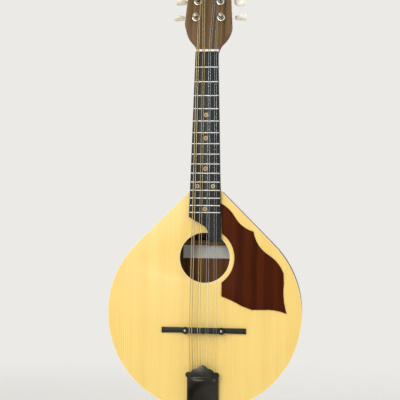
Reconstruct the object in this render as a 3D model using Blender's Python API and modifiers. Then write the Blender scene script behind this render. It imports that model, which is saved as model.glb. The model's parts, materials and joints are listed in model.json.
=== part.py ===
"""A flat back mandolin, every piece a closed solid of its own, for Blender 4.5.

Sizes are in metres. In the instrument's frame X runs to the treble side, Z up the neck and Y to the back.
The glue plane between fretboard and soundboard is y = 0, and the nut's lower edge is z = 0, so a distance
below the nut is a negative z. The head has a frame of its own, tilted back, and each tuner rail another.
The world's origin lies in the head's wood, where a hanger's yoke takes the flare.
"""

import math

import bmesh
import bpy
from mathutils import Matrix, Vector

MM = 0.001
GAP = 0.3 * MM  # between pieces that touch
RUNNING = 0.3 * MM  # round a shaft or a post that turns
BITE = 0.5 * MM  # how far a joined shape reaches into its neighbour
SEAM = 0.05 * MM  # between joined faces that would otherwise lie in one plane

# Origin, behind and above the nut's lower front corner
HANGER_BACK = 11.0 * MM
HANGER_UP = 15.0 * MM

# Scale and fretboard
SCALE_LENGTH = 352.0 * MM
FRET_COUNT = 15
JOIN_FRET = 12
NUT_WIDTH = 29.0 * MM
JOIN_WIDTH = 38.5 * MM
FRETBOARD_THICKNESS = 5.7 * MM
FRETBOARD_END = 209.8 * MM  # its bass corner, below the nut
SCOOP_ANGLE = math.radians(30.0)
SCOOP_RADIUS = 14.0 * MM
TONGUE_WIDTH = 16.4 * MM
TONGUE_END = 241.2 * MM
FRET_RADIUS = 1.0 * MM
FRET_INSET = 0.5 * MM

# Body
BODY_RADIUS = 123.0 * MM
SHOULDER_ANGLE = math.radians(45.0)
BODY_DEPTH = 56.0 * MM
TOP_THICKNESS = 2.6 * MM
BACK_THICKNESS = 2.8 * MM
RIB_THICKNESS = 2.0 * MM
LINING_WIDTH = 5.0 * MM
LINING_HEIGHT = 6.0 * MM
BODY_ARC_POINTS = 30

# Sound hole and pickguard
HOLE_RADIUS = 31.75 * MM
HOLE_BELOW_NUT = 261.0 * MM
HOLE_FACET = 4.1 * MM  # the flats that stand for its round edge
PICKGUARD_THICKNESS = 1.2 * MM
PICKGUARD_RING = 5.9 * MM  # bare spruce between the hole and the pickguard
PICKGUARD_TOP = 192.0 * MM
PICKGUARD_LEG = 17.6 * MM  # its straight edge below the ring
# Its corners from the top to the foot: out from the centreline, below the nut, and how far the edge that
# leads there stands outwards of a straight line
PICKGUARD_CORNERS = (
    (38.2 * MM, 209.9 * MM, 1.9 * MM),
    (61.3 * MM, 227.2 * MM, -2.8 * MM),
    (82.2 * MM, 257.5 * MM, -4.2 * MM),
    (101.2 * MM, 284.6 * MM, 3.2 * MM),
    (103.8 * MM, 329.6 * MM, -2.8 * MM),
    (59.7 * MM, 328.6 * MM, -4.1 * MM),
)
PICKGUARD_FOOT_BOW = -1.4 * MM
EDGE_ARC_POINTS = 6

# Blocks and braces
NECK_BLOCK_LENGTH = 38.0 * MM
NECK_BLOCK_SLOPE = 14.0 * MM
TAIL_BLOCK_HALF = 22.0 * MM
TAIL_BLOCK_LENGTH = 16.0 * MM
TENON_MOUTH = 12.0 * MM
TENON_FOOT = 16.0 * MM
TENON_LENGTH = 13.0 * MM
TENON_DEPTH = 40.0 * MM
BRACE_WIDTH = 6.0 * MM
BRACE_HEIGHT = 11.0 * MM
BRACE_END_HEIGHT = 3.0 * MM
BRACE_SLOPE = 22.0 * MM
UPPER_TOP_BRACE = 222.0 * MM
LOWER_TOP_BRACE = 301.0 * MM
UPPER_BACK_BRACE = 242.0 * MM
LOWER_BACK_BRACE = 372.0 * MM

# Neck
NECK_DEPTH_AT_NUT = 13.8 * MM
NECK_DEPTH_AT_HEEL = 17.5 * MM
HEEL_LENGTH = 34.0 * MM
HEEL_SHORT_OF_BACK = 0.6 * MM
NECK_SIDES = 12
NUT_THICKNESS = 3.2 * MM
NUT_OVER_FRETS = 1.4 * MM
NUT_CREST = 1.4 * MM  # how much of the nut's top is level, from its front
NUT_FALL = 1.2 * MM  # from there to its back
STRING_OVER_FRETS = 0.4 * MM

# Head
HEAD_TILT = math.radians(15.0)
HEAD_THICKNESS = 12.0 * MM
OVERLAY_THICKNESS = 2.0 * MM
OVERLAY_PROUD = 1.2 * MM
HEAD_LENGTH = 137.0 * MM
HEAD_WAIST = 4.0 * MM  # up to here the head is as wide as the nut
HEAD_FLARE = 14.0 * MM
HEAD_FLARE_OUT = 5.4 * MM
HEAD_SHOULDER = 37.0 * MM
HEAD_SHOULDER_HALF = 30.3 * MM
HEAD_WAIST_BOW = 0.7 * MM
HEAD_SHOULDER_BOW = -2.2 * MM
HEAD_CREST_SIDE = 127.0 * MM
HEAD_CREST_HALF = 24.4 * MM
HEAD_CREST_DROP = 3.0 * MM
HEAD_CREST_BOW = -2.6 * MM
HEAD_DIP_BOW = 0.8 * MM
HEAD_FOOT = 3.5 * MM  # of its block, hidden in the neck below the nut

# Tuning machines
POST_PITCH = 23.0 * MM
POSTS_PER_SIDE = 4
FIRST_POST_UP = 45.0 * MM
FIRST_POST_OUT = 16.2 * MM
RAIL_ANGLE = math.radians(4.2)
POST_RADIUS = 3.0 * MM
POST_HEIGHT = 10.5 * MM
POST_CHAMFER = 0.8 * MM
POST_SIDES = 10
BUSHING_RADIUS = 5.3 * MM
BUSHING_SLEEVE = 4.2 * MM
BUSHING_FLANGE = 1.2 * MM
BUSHING_CHAMFER = 0.6 * MM
BUSHING_DEPTH = 6.0 * MM
PLATE_THICKNESS = 1.2 * MM
PLATE_HALF_WIDTH = 7.3 * MM
PLATE_OVERHANG = 14.0 * MM
GEAR_TEETH = 14
GEAR_MODULE = 0.8 * MM
GEAR_FACE = 2.6 * MM
TOOTH_OUT = 0.55 * MM  # of the gear's teeth and the worm's thread, past the pitch line
TOOTH_IN = 0.75 * MM
TOOTH_PLAY = 0.2 * MM  # taken off each tooth's thickness
FLANK_ANGLE = math.radians(20.0)
WORM_RADIUS = 2.4 * MM  # at the pitch line
WORM_TURNS = 3
WORM_STEPS = 10
WORM_OFF_PLATE = 0.45 * MM
HUB_RADIUS = 3.6 * MM
HUB_PAST_GEAR = 0.4 * MM
HUB_CAP = 0.5 * MM
EAR_THICKNESS = 1.2 * MM
EAR_HALF_WIDTH = 3.1 * MM
EAR_PLAY = 0.4 * MM
EAR_BORE_SIDES = 8
COLLAR_RADIUS = 2.7 * MM
COLLAR_LENGTH = 1.4 * MM
SHAFT_PAST_EAR = 0.8 * MM
BUTTON_FROM_POST = 13.1 * MM
BUTTON_LENGTH = 13.2 * MM
BUTTON_HALF_WIDTH = 6.5 * MM
BUTTON_HALF_THICKNESS = 4.1 * MM
BUTTON_SIDES = 10
# Rows from the shaft to its end: share of the length, of the half width and of the half thickness
BUTTON_ROWS = (
    (0.0, 0.4, 0.6),
    (0.3, 0.9, 0.62),
    (0.6, 1.0, 0.82),
    (0.86, 0.92, 1.0),
    (1.0, 0.62, 0.62),
)

# Bridge
BRIDGE_BELOW_NUT = 352.6 * MM
BRIDGE_LENGTH = 107.0 * MM
BRIDGE_WIDTH = 7.2 * MM
BRIDGE_BULGE = 1.0 * MM
BRIDGE_BASE_HEIGHT = 4.0 * MM
BRIDGE_TIP_HEIGHT = 1.8 * MM
BRIDGE_TIP_LENGTH = 7.0 * MM
BRIDGE_TIP_RISE = 0.3 * MM
SADDLE_LENGTH = 52.0 * MM
SADDLE_WIDTH = 6.4 * MM
SADDLE_TOP_WIDTH = 2.2 * MM
SADDLE_CREST = 40.0 * MM
SADDLE_TOP = 12.0 * MM  # over the soundboard
SADDLE_EAR_TOP = 9.4 * MM
SADDLE_EAR_FALL = 0.2 * MM  # to the ear's outer end
SADDLE_ROUNDING = 0.8 * MM  # of its corners
STUD_OUT = 22.8 * MM
STUD_RADIUS = 1.5 * MM
STUD_HEIGHT = 10.7 * MM
WHEEL_RADIUS = 4.6 * MM
WHEEL_THICKNESS = 1.5 * MM
WHEEL_CHAMFER = 0.3 * MM
SADDLE_DROP = 0.8 * MM  # room for the wheels to wind down

# Tailpiece; what is from the tail is measured up from the soundboard's lower end
TAIL_PLATE_THICKNESS = 0.9 * MM
TAIL_PLATE_HALF = 17.8 * MM
TAIL_PLATE_FROM_TAIL = 24.1 * MM
TAIL_LEG_HALF = 12.0 * MM
TAIL_LEG_DEPTH = 25.0 * MM
HOOKS_FROM_TAIL = 17.1 * MM
HOOK_WIDTH = 1.6 * MM
HOOK_THICKNESS = 1.2 * MM
HOOK_HEIGHT = 5.6 * MM
HOOK_LIP = 1.5 * MM
HOOK_LIP_THICKNESS = 0.8 * MM
LOOP_HEIGHT = 3.2 * MM
COVER_HALF = 20.1 * MM
COVER_VISOR_HALF = 23.2 * MM
COVER_PEAK_FROM_TAIL = 59.0 * MM
COVER_SCALLOP = 4.4 * MM  # below the peak
COVER_SCALLOP_OUT = 6.4 * MM
COVER_EAR = 9.5 * MM
COVER_EAR_OUT = 15.2 * MM
COVER_EAR_BOW = 3.8 * MM
COVER_BAND_BELOW_PEAK = 15.5 * MM
COVER_BAND_LENGTH = 7.0 * MM
COVER_STEP = 1.0 * MM  # how far the band stands over the sheet, and as long as its slope
COVER_VISOR_EDGE = 8.6 * MM  # over the soundboard at its sides
COVER_VISOR_PEAK = 10.4 * MM
COVER_HEIGHT = 11.5 * MM  # over the soundboard behind the visor
COVER_TAIL_HEIGHT = 8.6 * MM
COVER_TAIL_BEND = 5.0 * MM  # from its end
COVER_SHEET = 0.8 * MM
COVER_CLEAR = 0.8 * MM  # from its sides to the soundboard
COVER_PAST_TAIL = 5.0 * MM
COVER_COLUMNS = 12
PIN_DOWN = 37.0 * MM
PIN_RADIUS = 3.6 * MM
PIN_HEAD_RADIUS = 6.4 * MM
PIN_HEAD_LENGTH = 11.0 * MM
PIN_SHANK = 14.0 * MM

# Strings: a course's middle at nut, saddle and hooks, half the gap in a pair there, and gauges
COURSE_AT_NUT = 7.5 * MM
COURSE_AT_SADDLE = 10.3 * MM
COURSE_AT_HOOKS = 9.1 * MM
PAIR_AT_NUT = 1.1 * MM
PAIR_AT_SADDLE = 1.5 * MM
PAIR_AT_HOOKS = 1.8 * MM
GAUGES = {"g": 1.0 * MM, "d": 0.66 * MM, "a": 0.38 * MM, "e": 0.28 * MM}
LOOP_WIRE = 0.22 * MM  # radius of the thin end that goes round a hook
LOOP_RADIUS = 1.35 * MM
LOOP_THROAT = 2.4 * MM  # above the hook, where its two legs start to close
LOOP_CLOSE = 5.2 * MM
STRING_START = 9.0 * MM
WINDING_TOP = 6.2 * MM
WINDING_TURNS = 2.1
WINDING_POINTS = 9
WINDING_SPACE = 0.45 * MM

SIDES = {"bass": -1, "treble": 1}

FRONT = Matrix(((1, 0, 0, 0), (0, 0, -1, 0), (0, 1, 0, 0), (0, 0, 0, 1)))  # outline in XZ, thick along Y
SIDE = Matrix(((0, 0, 1, 0), (1, 0, 0, 0), (0, 1, 0, 0), (0, 0, 0, 1)))  # outline in YZ, thick along X
END = Matrix.Identity(4)  # outline in XY, thick along Z


# Scene


def clear_scene():
    for obj in list(bpy.data.objects):
        bpy.data.objects.remove(obj, do_unlink=True)


def new_collection(name):
    collection = bpy.data.collections.new(name)
    bpy.context.scene.collection.children.link(collection)
    return collection


clear_scene()
PARTS = new_collection("flat_back_mandolin")
TOOLS = new_collection("cutters")


def frame(name, parent, matrix):
    """An empty that carries a group of pieces."""
    empty = bpy.data.objects.new(name, None)
    PARTS.objects.link(empty)
    empty.parent = parent
    empty.matrix_basis = matrix
    return empty


def finish(name, color, roughness, metallic=0.0):
    mat = bpy.data.materials.new(name)
    mat.use_nodes = True
    shader = mat.node_tree.nodes["Principled BSDF"]
    shader.inputs["Base Color"].default_value = (*color, 1.0)
    shader.inputs["Roughness"].default_value = roughness
    shader.inputs["Metallic"].default_value = metallic
    return mat


SPRUCE = finish("spruce", (0.87, 0.68, 0.24), 0.35)
MAHOGANY = finish("mahogany", (0.25, 0.11, 0.04), 0.4)
WALNUT = finish("walnut", (0.17, 0.10, 0.05), 0.35)
EBONY = finish("ebony", (0.03, 0.03, 0.03), 0.5)
BONE = finish("bone", (0.72, 0.68, 0.55), 0.4)
CREAM = finish("cream_celluloid", (0.72, 0.62, 0.42), 0.3)
NICKEL = finish("nickel", (0.66, 0.64, 0.6), 0.25, 1.0)
BLACK_NICKEL = finish("black_nickel", (0.06, 0.06, 0.06), 0.2, 1.0)
STEEL = finish("steel", (0.6, 0.6, 0.6), 0.25, 1.0)
BRONZE = finish("bronze", (0.5, 0.3, 0.14), 0.35, 1.0)


# Making and joining


def piece(name, mesh, mat, parent, matrix=None):
    """A named sub-part from a mesh given in its parent's frame, or in its own if a matrix places it."""
    obj = bpy.data.objects.new(name, mesh)
    PARTS.objects.link(obj)
    obj.parent = parent
    if matrix is not None:
        obj.matrix_basis = matrix
    mesh.materials.clear()
    mesh.materials.append(mat)
    return obj


def tool(mesh, parent=None, matrix=None):
    """A hidden shape that cuts or joins another."""
    obj = bpy.data.objects.new(mesh.name, mesh)
    TOOLS.objects.link(obj)
    obj.parent = parent
    if matrix is not None:
        obj.matrix_basis = matrix
    obj.hide_render = True
    obj.display_type = "WIRE"
    return obj


def boolean(obj, other, operation):
    mod = obj.modifiers.new(operation.title(), "BOOLEAN")
    mod.operation = operation
    mod.solver = "EXACT"
    mod.object = other
    return obj


def baked(obj):
    """The object's evaluated mesh, in its own frame, with the object removed."""
    bpy.context.view_layer.update()
    graph = bpy.context.evaluated_depsgraph_get()
    mesh = bpy.data.meshes.new_from_object(obj.evaluated_get(graph))
    mesh.name = obj.name
    bpy.data.objects.remove(obj)
    return mesh


def from_bmesh(name, bm, matrix=None):
    if matrix is not None:
        bmesh.ops.transform(bm, matrix=matrix, verts=bm.verts)
    mesh = bpy.data.meshes.new(name)
    bm.to_mesh(mesh)
    bm.free()
    return mesh


def combined(name, meshes):
    """Several closed shapes as one mesh, to cut or join with in one go."""
    bm = bmesh.new()
    for mesh in meshes:
        bm.from_mesh(mesh)
    return from_bmesh(name, bm)


def flat(name, loops, thickness, facing=FRONT, at=(0.0, 0.0, 0.0)):
    """A flat piece from closed outlines, the later ones holes, as thick as asked about the point at."""
    curve = bpy.data.curves.new(name, "CURVE")
    curve.dimensions = "2D"
    curve.fill_mode = "BOTH"
    curve.extrude = thickness / 2
    for loop in loops:
        spline = curve.splines.new("POLY")
        spline.points.add(len(loop) - 1)
        for point, (u, v) in zip(spline.points, loop):
            point.co = (u, v, 0.0, 1.0)
        spline.use_cyclic_u = True
    obj = bpy.data.objects.new(name, curve)
    TOOLS.objects.link(obj)
    mesh = baked(obj)
    bpy.data.curves.remove(curve)
    bm = bmesh.new()
    bm.from_mesh(mesh)
    bpy.data.meshes.remove(mesh)
    bmesh.ops.remove_doubles(bm, verts=bm.verts, dist=MM / 1000)
    return from_bmesh(name, bm, Matrix.Translation(at) @ facing)


def slab(name, loops, front, back):
    """A flat piece that faces the front, between two values of y."""
    return flat(name, loops, back - front, FRONT, (0.0, (front + back) / 2, 0.0))


def box(name, low, high):
    bm = bmesh.new()
    bmesh.ops.create_cube(bm, size=1.0)
    size = [b - a for a, b in zip(low, high)]
    middle = [(a + b) / 2 for a, b in zip(low, high)]
    return from_bmesh(name, bm, Matrix.Translation(middle) @ Matrix.Diagonal((*size, 1.0)))


def rod(name, radius, start, end, sides=12):
    """A plain round bar between two points."""
    start, end = Vector(start), Vector(end)
    bm = bmesh.new()
    bmesh.ops.create_cone(
        bm, cap_ends=True, segments=sides, radius1=radius, radius2=radius, depth=(end - start).length
    )
    turn = (end - start).to_track_quat("Z", "Y").to_matrix().to_4x4()
    return from_bmesh(name, bm, Matrix.Translation((start + end) / 2) @ turn)


def turned(name, profile, steps, closed=False):
    """A shape turned about Z from (radius, height) points down its outer side; closed ones come back up."""
    mesh = bpy.data.meshes.new(name)
    count = len(profile)
    edges = [(i, i + 1) for i in range(count - 1)]
    if closed:
        edges.append((count - 1, 0))
    mesh.from_pydata([(r, 0.0, z) for r, z in profile], edges, [])
    obj = bpy.data.objects.new(name, mesh)
    TOOLS.objects.link(obj)
    screw = obj.modifiers.new("Turn", "SCREW")
    screw.axis = "Z"
    screw.angle = 2 * math.pi
    screw.steps = steps
    screw.render_steps = steps
    screw.use_merge_vertices = True
    screw.merge_threshold = MM / 100
    return baked(obj)


def rounded(mesh, angle=35.0):
    mesh.shade_smooth()
    mesh.set_sharp_from_angle(angle=math.radians(angle))
    return mesh


# Outlines


def arc(start, end, bow, count):
    """Points from start to just before end, on an arc that stands bow to the left of the straight line."""
    start, end = Vector(start), Vector(end)
    if abs(bow) < MM / 1000:
        return [tuple(start)]
    chord = end - start
    left = Vector((-chord.y, chord.x)).normalized()
    radius = (chord.length_squared / 4 + bow * bow) / (2 * bow)
    centre = (start + end) / 2 + left * (bow - radius)
    sweep = -4 * math.atan2(2 * bow, chord.length)
    points = []
    for i in range(count):
        turn = Matrix.Rotation(sweep * i / count, 2)
        points.append(tuple(centre + turn @ (start - centre)))
    return points


def circle(x, z, radius, count):
    return [
        (x + radius * math.cos(2 * math.pi * i / count), z + radius * math.sin(2 * math.pi * i / count))
        for i in range(count)
    ]


def mirrored(half):
    """A closed outline from its treble half, listed from top to bottom."""
    return half + [(-x, z) for x, z in reversed(half) if abs(x) > MM / 1000]


def fret_below_nut(number):
    return SCALE_LENGTH * (1 - 2 ** (-number / 12))


NECK_JOIN = fret_below_nut(JOIN_FRET)


def fretboard_half(below):
    """Half the fretboard's width at a distance below the nut."""
    return (NUT_WIDTH + (JOIN_WIDTH - NUT_WIDTH) * below / NECK_JOIN) / 2


SHOULDER_SIN = math.sin(SHOULDER_ANGLE)
SHOULDER_COS = math.cos(SHOULDER_ANGLE)
SHOULDER_START = JOIN_WIDTH / 2 * SHOULDER_COS - NECK_JOIN * SHOULDER_SIN
BODY_CENTRE = (BODY_RADIUS - SHOULDER_START) / SHOULDER_SIN  # below the nut
BODY_TAIL = BODY_CENTRE + BODY_RADIUS
HOOKS_BELOW_NUT = BODY_TAIL - HOOKS_FROM_TAIL
COVER_PEAK = BODY_TAIL - COVER_PEAK_FROM_TAIL
COVER_BAND = COVER_PEAK + COVER_BAND_BELOW_PEAK


def body_half(below, inset=0.0):
    """Half the body's width at a distance below the nut, with its edge moved in by inset."""
    radius = BODY_RADIUS - inset
    if below < BODY_CENTRE - radius * SHOULDER_SIN:
        return (SHOULDER_START - inset + below * SHOULDER_SIN) / SHOULDER_COS
    return math.sqrt(max(radius**2 - (below - BODY_CENTRE) ** 2, 0.0))


def shoulder_below(x, inset):
    """How far below the nut the straight shoulder, moved in by inset, is x from the centreline."""
    return (x * SHOULDER_COS - SHOULDER_START + inset) / SHOULDER_SIN


def body_edge(inset, start, end_x, count=BODY_ARC_POINTS):
    """The treble edge, moved in by inset, from start below the nut to end_x from the centreline."""
    radius = BODY_RADIUS - inset
    last = -math.acos(min(end_x / radius, 1.0))
    points = [(body_half(start, inset), -start)]
    for i in range(count + 1):
        angle = SHOULDER_ANGLE + (last - SHOULDER_ANGLE) * i / count
        points.append((radius * math.cos(angle), radius * math.sin(angle) - BODY_CENTRE))
    return points


def body_outline():
    return mirrored(body_edge(0.0, NECK_JOIN, 0.0))


def band(side, outer, inner, start, end_x):
    """A bent strip along one side of the body, between two insets."""
    out = body_edge(outer, start, end_x)
    back = body_edge(inner, start, end_x)
    return [(side * x, z) for x, z in out + list(reversed(back))]


# Body


def make_soundboard(parent):
    facets = round(2 * math.pi * HOLE_RADIUS / HOLE_FACET)
    hole = circle(0.0, -HOLE_BELOW_NUT, HOLE_RADIUS, facets)
    mesh = slab("soundboard", [body_outline(), hole], 0.0, TOP_THICKNESS)
    piece("soundboard", mesh, SPRUCE, parent)


def make_back(parent):
    mesh = slab("back_plate", [body_outline()], BODY_DEPTH - BACK_THICKNESS, BODY_DEPTH)
    piece("back_plate", mesh, MAHOGANY, parent)


INSIDE_TOP = TOP_THICKNESS + GAP
INSIDE_BACK = BODY_DEPTH - BACK_THICKNESS - GAP
LINING_INSET = RIB_THICKNESS + GAP


def pin_cutter(parent):
    """The end pin's hole through the tail."""
    start = (0.0, PIN_DOWN, -(BODY_TAIL - TAIL_BLOCK_LENGTH * 1.5))
    end = (0.0, PIN_DOWN, -(BODY_TAIL + TAIL_BLOCK_LENGTH))
    return tool(rod("pin_hole", PIN_RADIUS + GAP, start, end), parent)


def make_ribs(parent, hole):
    for name, side in SIDES.items():
        outline = band(side, 0.0, RIB_THICKNESS, NECK_JOIN, GAP / 2)
        rib = piece(f"rib_{name}", slab("rib", [outline], INSIDE_TOP, INSIDE_BACK), MAHOGANY, parent)
        boolean(rib, hole, "DIFFERENCE")


def make_linings(parent):
    inner = LINING_INSET + LINING_WIDTH
    start = shoulder_below(body_half(NECK_JOIN + NECK_BLOCK_SLOPE, LINING_INSET) + GAP, inner)
    for name, side in SIDES.items():
        outline = band(side, LINING_INSET, inner, start, TAIL_BLOCK_HALF + GAP)
        top = slab("lining", [outline], INSIDE_TOP, INSIDE_TOP + LINING_HEIGHT)
        piece(f"top_lining_{name}", top, SPRUCE, parent)
        back = slab("lining", [outline], INSIDE_BACK - LINING_HEIGHT, INSIDE_BACK)
        piece(f"back_lining_{name}", back, SPRUCE, parent)


def tenon_outline(clearance):
    """The dovetail that holds the neck, seen from the front, or its mortise with a clearance."""
    top = NECK_JOIN - BITE * 4
    foot = NECK_JOIN + TENON_LENGTH + clearance
    spread = (TENON_FOOT - TENON_MOUTH) / 2 / TENON_LENGTH
    top_half = TENON_MOUTH / 2 + clearance + (top - NECK_JOIN) * spread
    foot_half = TENON_MOUTH / 2 + clearance + (foot - NECK_JOIN) * spread
    return mirrored([(top_half, -top), (foot_half, -foot)])


def make_blocks(parent, hole):
    corner = NECK_JOIN + NECK_BLOCK_SLOPE
    corner_half = body_half(corner, LINING_INSET)
    half = [
        (body_half(NECK_JOIN, LINING_INSET), -NECK_JOIN),
        (corner_half, -corner),
        (corner_half, -(NECK_JOIN + NECK_BLOCK_LENGTH)),
    ]
    neck_block = piece(
        "neck_block", slab("neck_block", [mirrored(half)], INSIDE_TOP, INSIDE_BACK), SPRUCE, parent
    )
    mortise = slab("mortise", [tenon_outline(GAP)], 0.0, INSIDE_TOP + TENON_DEPTH + GAP)
    boolean(neck_block, tool(mortise, parent), "DIFFERENCE")

    radius = BODY_RADIUS - LINING_INSET
    edge = math.sqrt(radius**2 - TAIL_BLOCK_HALF**2)
    front = BODY_TAIL - LINING_INSET - TAIL_BLOCK_LENGTH
    bow = radius - edge
    tail_outline = [(TAIL_BLOCK_HALF, -front)]
    tail_outline += arc(
        (TAIL_BLOCK_HALF, -(BODY_CENTRE + edge)), (-TAIL_BLOCK_HALF, -(BODY_CENTRE + edge)), bow, 8
    )
    tail_outline += [(-TAIL_BLOCK_HALF, -(BODY_CENTRE + edge)), (-TAIL_BLOCK_HALF, -front)]
    tail_mesh = slab("tail_block", [tail_outline], INSIDE_TOP, INSIDE_BACK)
    tail_block = piece("tail_block", tail_mesh, SPRUCE, parent)
    boolean(tail_block, hole, "DIFFERENCE")


def make_brace(name, parent, below, base, direction):
    """A brace across a plate, scalloped at its ends; direction is where it stands, along Y."""
    inset = LINING_INSET + LINING_WIDTH + GAP
    near, far = below - BRACE_WIDTH / 2, below + BRACE_WIDTH / 2
    half = min(body_half(near, inset), body_half(far, inset))
    profile = [
        (half, 0.0),
        (half, BRACE_END_HEIGHT),
        (half - BRACE_SLOPE / 2, BRACE_END_HEIGHT + (BRACE_HEIGHT - BRACE_END_HEIGHT) * 0.35),
        (half - BRACE_SLOPE, BRACE_HEIGHT),
    ]
    outline = [(x, base + direction * y) for x, y in mirrored(profile)]
    piece(name, flat(name, [outline], BRACE_WIDTH, END, (0.0, 0.0, -below)), SPRUCE, parent)


def make_braces(parent):
    make_brace("top_brace_upper", parent, UPPER_TOP_BRACE, INSIDE_TOP, 1)
    make_brace("top_brace_lower", parent, LOWER_TOP_BRACE, INSIDE_TOP, 1)
    make_brace("back_brace_upper", parent, UPPER_BACK_BRACE, INSIDE_BACK, -1)
    make_brace("back_brace_lower", parent, LOWER_BACK_BRACE, INSIDE_BACK, -1)


def make_pickguard(parent):
    """Up the fretboard's edge, out over the shoulder, down to the tip and back, then round the hole."""
    ring = HOLE_RADIUS + PICKGUARD_RING

    def fret_side(below):
        return fretboard_half(below) + GAP

    top = (fret_side(PICKGUARD_TOP), -PICKGUARD_TOP)
    outline = []
    last = top
    for x, below, bow in PICKGUARD_CORNERS:
        outline += arc(last, (x, -below), bow, EDGE_ARC_POINTS)
        last = (x, -below)
    leg_x = fret_side(HOLE_BELOW_NUT)
    angle = math.acos(leg_x / ring)
    foot = (leg_x, -HOLE_BELOW_NUT - ring * math.sin(angle) - PICKGUARD_LEG)
    outline += arc(last, foot, PICKGUARD_FOOT_BOW, EDGE_ARC_POINTS)
    outline.append(foot)
    for i in range(17):
        turn = angle * (i / 8 - 1)
        outline.append((ring * math.cos(turn), ring * math.sin(turn) - HOLE_BELOW_NUT))
    mesh = slab("pickguard", [outline], -GAP - PICKGUARD_THICKNESS, -GAP)
    piece("pickguard", mesh, WALNUT, parent)


# Neck and fretboard


def make_fretboard(parent):
    tongue_x = fretboard_half(TONGUE_END) - TONGUE_WIDTH
    slope = math.tan(SCOOP_ANGLE)
    start_x = tongue_x - SCOOP_RADIUS * (1 - math.sin(SCOOP_ANGLE))
    start = FRETBOARD_END + (start_x + fretboard_half(FRETBOARD_END)) * slope
    straight = start + SCOOP_RADIUS * math.cos(SCOOP_ANGLE)
    outline = [(-fretboard_half(0.0), -GAP), (-fretboard_half(FRETBOARD_END), -FRETBOARD_END)]
    for i in range(7):
        angle = math.pi / 2 - SCOOP_ANGLE - (math.pi / 2 - SCOOP_ANGLE) * i / 6
        outline.append(
            (
                tongue_x - SCOOP_RADIUS * (1 - math.cos(angle)),
                -straight + SCOOP_RADIUS * math.sin(angle),
            )
        )
    outline += [
        (tongue_x, -TONGUE_END),
        (fretboard_half(TONGUE_END), -TONGUE_END),
        (fretboard_half(0.0), -GAP),
    ]
    front = -GAP - FRETBOARD_THICKNESS
    board = piece("fretboard", slab("fretboard", [outline], front, -GAP), EBONY, parent)
    wires = []
    for number in range(1, FRET_COUNT + 1):
        below = fret_below_nut(number)
        half = fretboard_half(below) - FRET_INSET
        wires.append(rod("fret", FRET_RADIUS, (-half, front, -below), (half, front, -below), 6))
    boolean(board, tool(combined("frets", wires), parent), "UNION")


FRET_TOP = GAP + FRETBOARD_THICKNESS + FRET_RADIUS * math.cos(math.pi / 6)


def neck_section(half, depth, squareness):
    """A neck's cross-section: flat at the glue plane, round at the back, squarer where asked."""
    points = []
    for i in range(NECK_SIDES + 1):
        angle = math.pi * i / NECK_SIDES
        across = math.copysign(abs(math.cos(angle)) ** (2 / squareness), math.cos(angle))
        deep = abs(math.sin(angle)) ** (2 / squareness)
        points.append((half * across, depth * deep))
    return points


def neck_sections():
    """(below the nut, half width, depth, squareness) from the head down to the heel."""
    head = (NECK_DEPTH_AT_NUT, 5.0)
    shelf = NUT_THICKNESS - (OVERLAY_THICKNESS + GAP) * math.sin(HEAD_TILT) - GAP
    rows = [(-shelf, NUT_WIDTH / 2, *head), (0.0, NUT_WIDTH / 2, *head)]
    heel_start = NECK_JOIN - GAP - HEEL_LENGTH
    for share, squareness in ((0.07, 3.2), (0.2, 2.3), (0.6, 2.1), (1.0, 2.0)):
        below = heel_start * share
        depth = NECK_DEPTH_AT_NUT + (NECK_DEPTH_AT_HEEL - NECK_DEPTH_AT_NUT) * share
        rows.append((below, fretboard_half(below), depth, squareness))
    drop = BODY_DEPTH - HEEL_SHORT_OF_BACK - NECK_DEPTH_AT_HEEL
    steps = 7
    for i in range(1, steps + 1):
        angle = math.pi / 2 * i / steps
        below = heel_start + HEEL_LENGTH * math.sin(angle)
        depth = NECK_DEPTH_AT_HEEL + drop * (1 - math.cos(angle))
        rows.append((below, fretboard_half(below), depth, 2.0 + 0.3 * i / steps))
    return rows


def neck_shaft():
    bm = bmesh.new()
    rings = []
    for below, half, depth, squareness in neck_sections():
        section = neck_section(half, depth, squareness)
        rings.append([bm.verts.new((x, y, -below)) for x, y in section])
    for upper, lower in zip(rings, rings[1:]):
        for i in range(len(upper)):
            j = (i + 1) % len(upper)
            bm.faces.new((upper[i], upper[j], lower[j], lower[i]))
    bm.faces.new(reversed(rings[0]))
    bm.faces.new(rings[-1])
    bmesh.ops.recalc_face_normals(bm, faces=bm.faces)
    return from_bmesh("neck", bm)


def head_outline(foot):
    """The head seen square to its face: flared from the nut, tapered slowly to a low crest."""
    half = NUT_WIDTH / 2
    waist = (half, HEAD_WAIST)
    flare = (half + HEAD_FLARE_OUT, HEAD_FLARE)
    shoulder = (HEAD_SHOULDER_HALF, HEAD_SHOULDER)
    crest_side = (HEAD_CREST_HALF, HEAD_CREST_SIDE)
    crest_in = (HEAD_CREST_HALF * 0.55, HEAD_LENGTH - HEAD_CREST_DROP)
    points = [(half, foot)]
    points += arc(waist, flare, HEAD_WAIST_BOW, 4)
    points += arc(flare, shoulder, HEAD_SHOULDER_BOW, 6)
    points += [shoulder]
    points += arc(crest_side, crest_in, HEAD_CREST_BOW, 5)
    points += arc(crest_in, (0.0, HEAD_LENGTH), HEAD_DIP_BOW, 3)
    points += [(0.0, HEAD_LENGTH)]
    points.reverse()
    return mirrored(points)


def post_holes(rails):
    """The eight holes through the head that the bushings sit in."""
    holes = []
    radius = BUSHING_SLEEVE + GAP
    front = -OVERLAY_THICKNESS
    back = HEAD_BACK + OVERLAY_THICKNESS
    for rail in rails.values():
        rods = []
        for number in range(POSTS_PER_SIDE):
            up = POST_PITCH * number
            rods.append(rod("post_hole", radius, (0.0, front, up), (0.0, back, up), POST_SIDES))
        holes.append(tool(combined("post_holes", rods), rail))
    return holes


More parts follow.
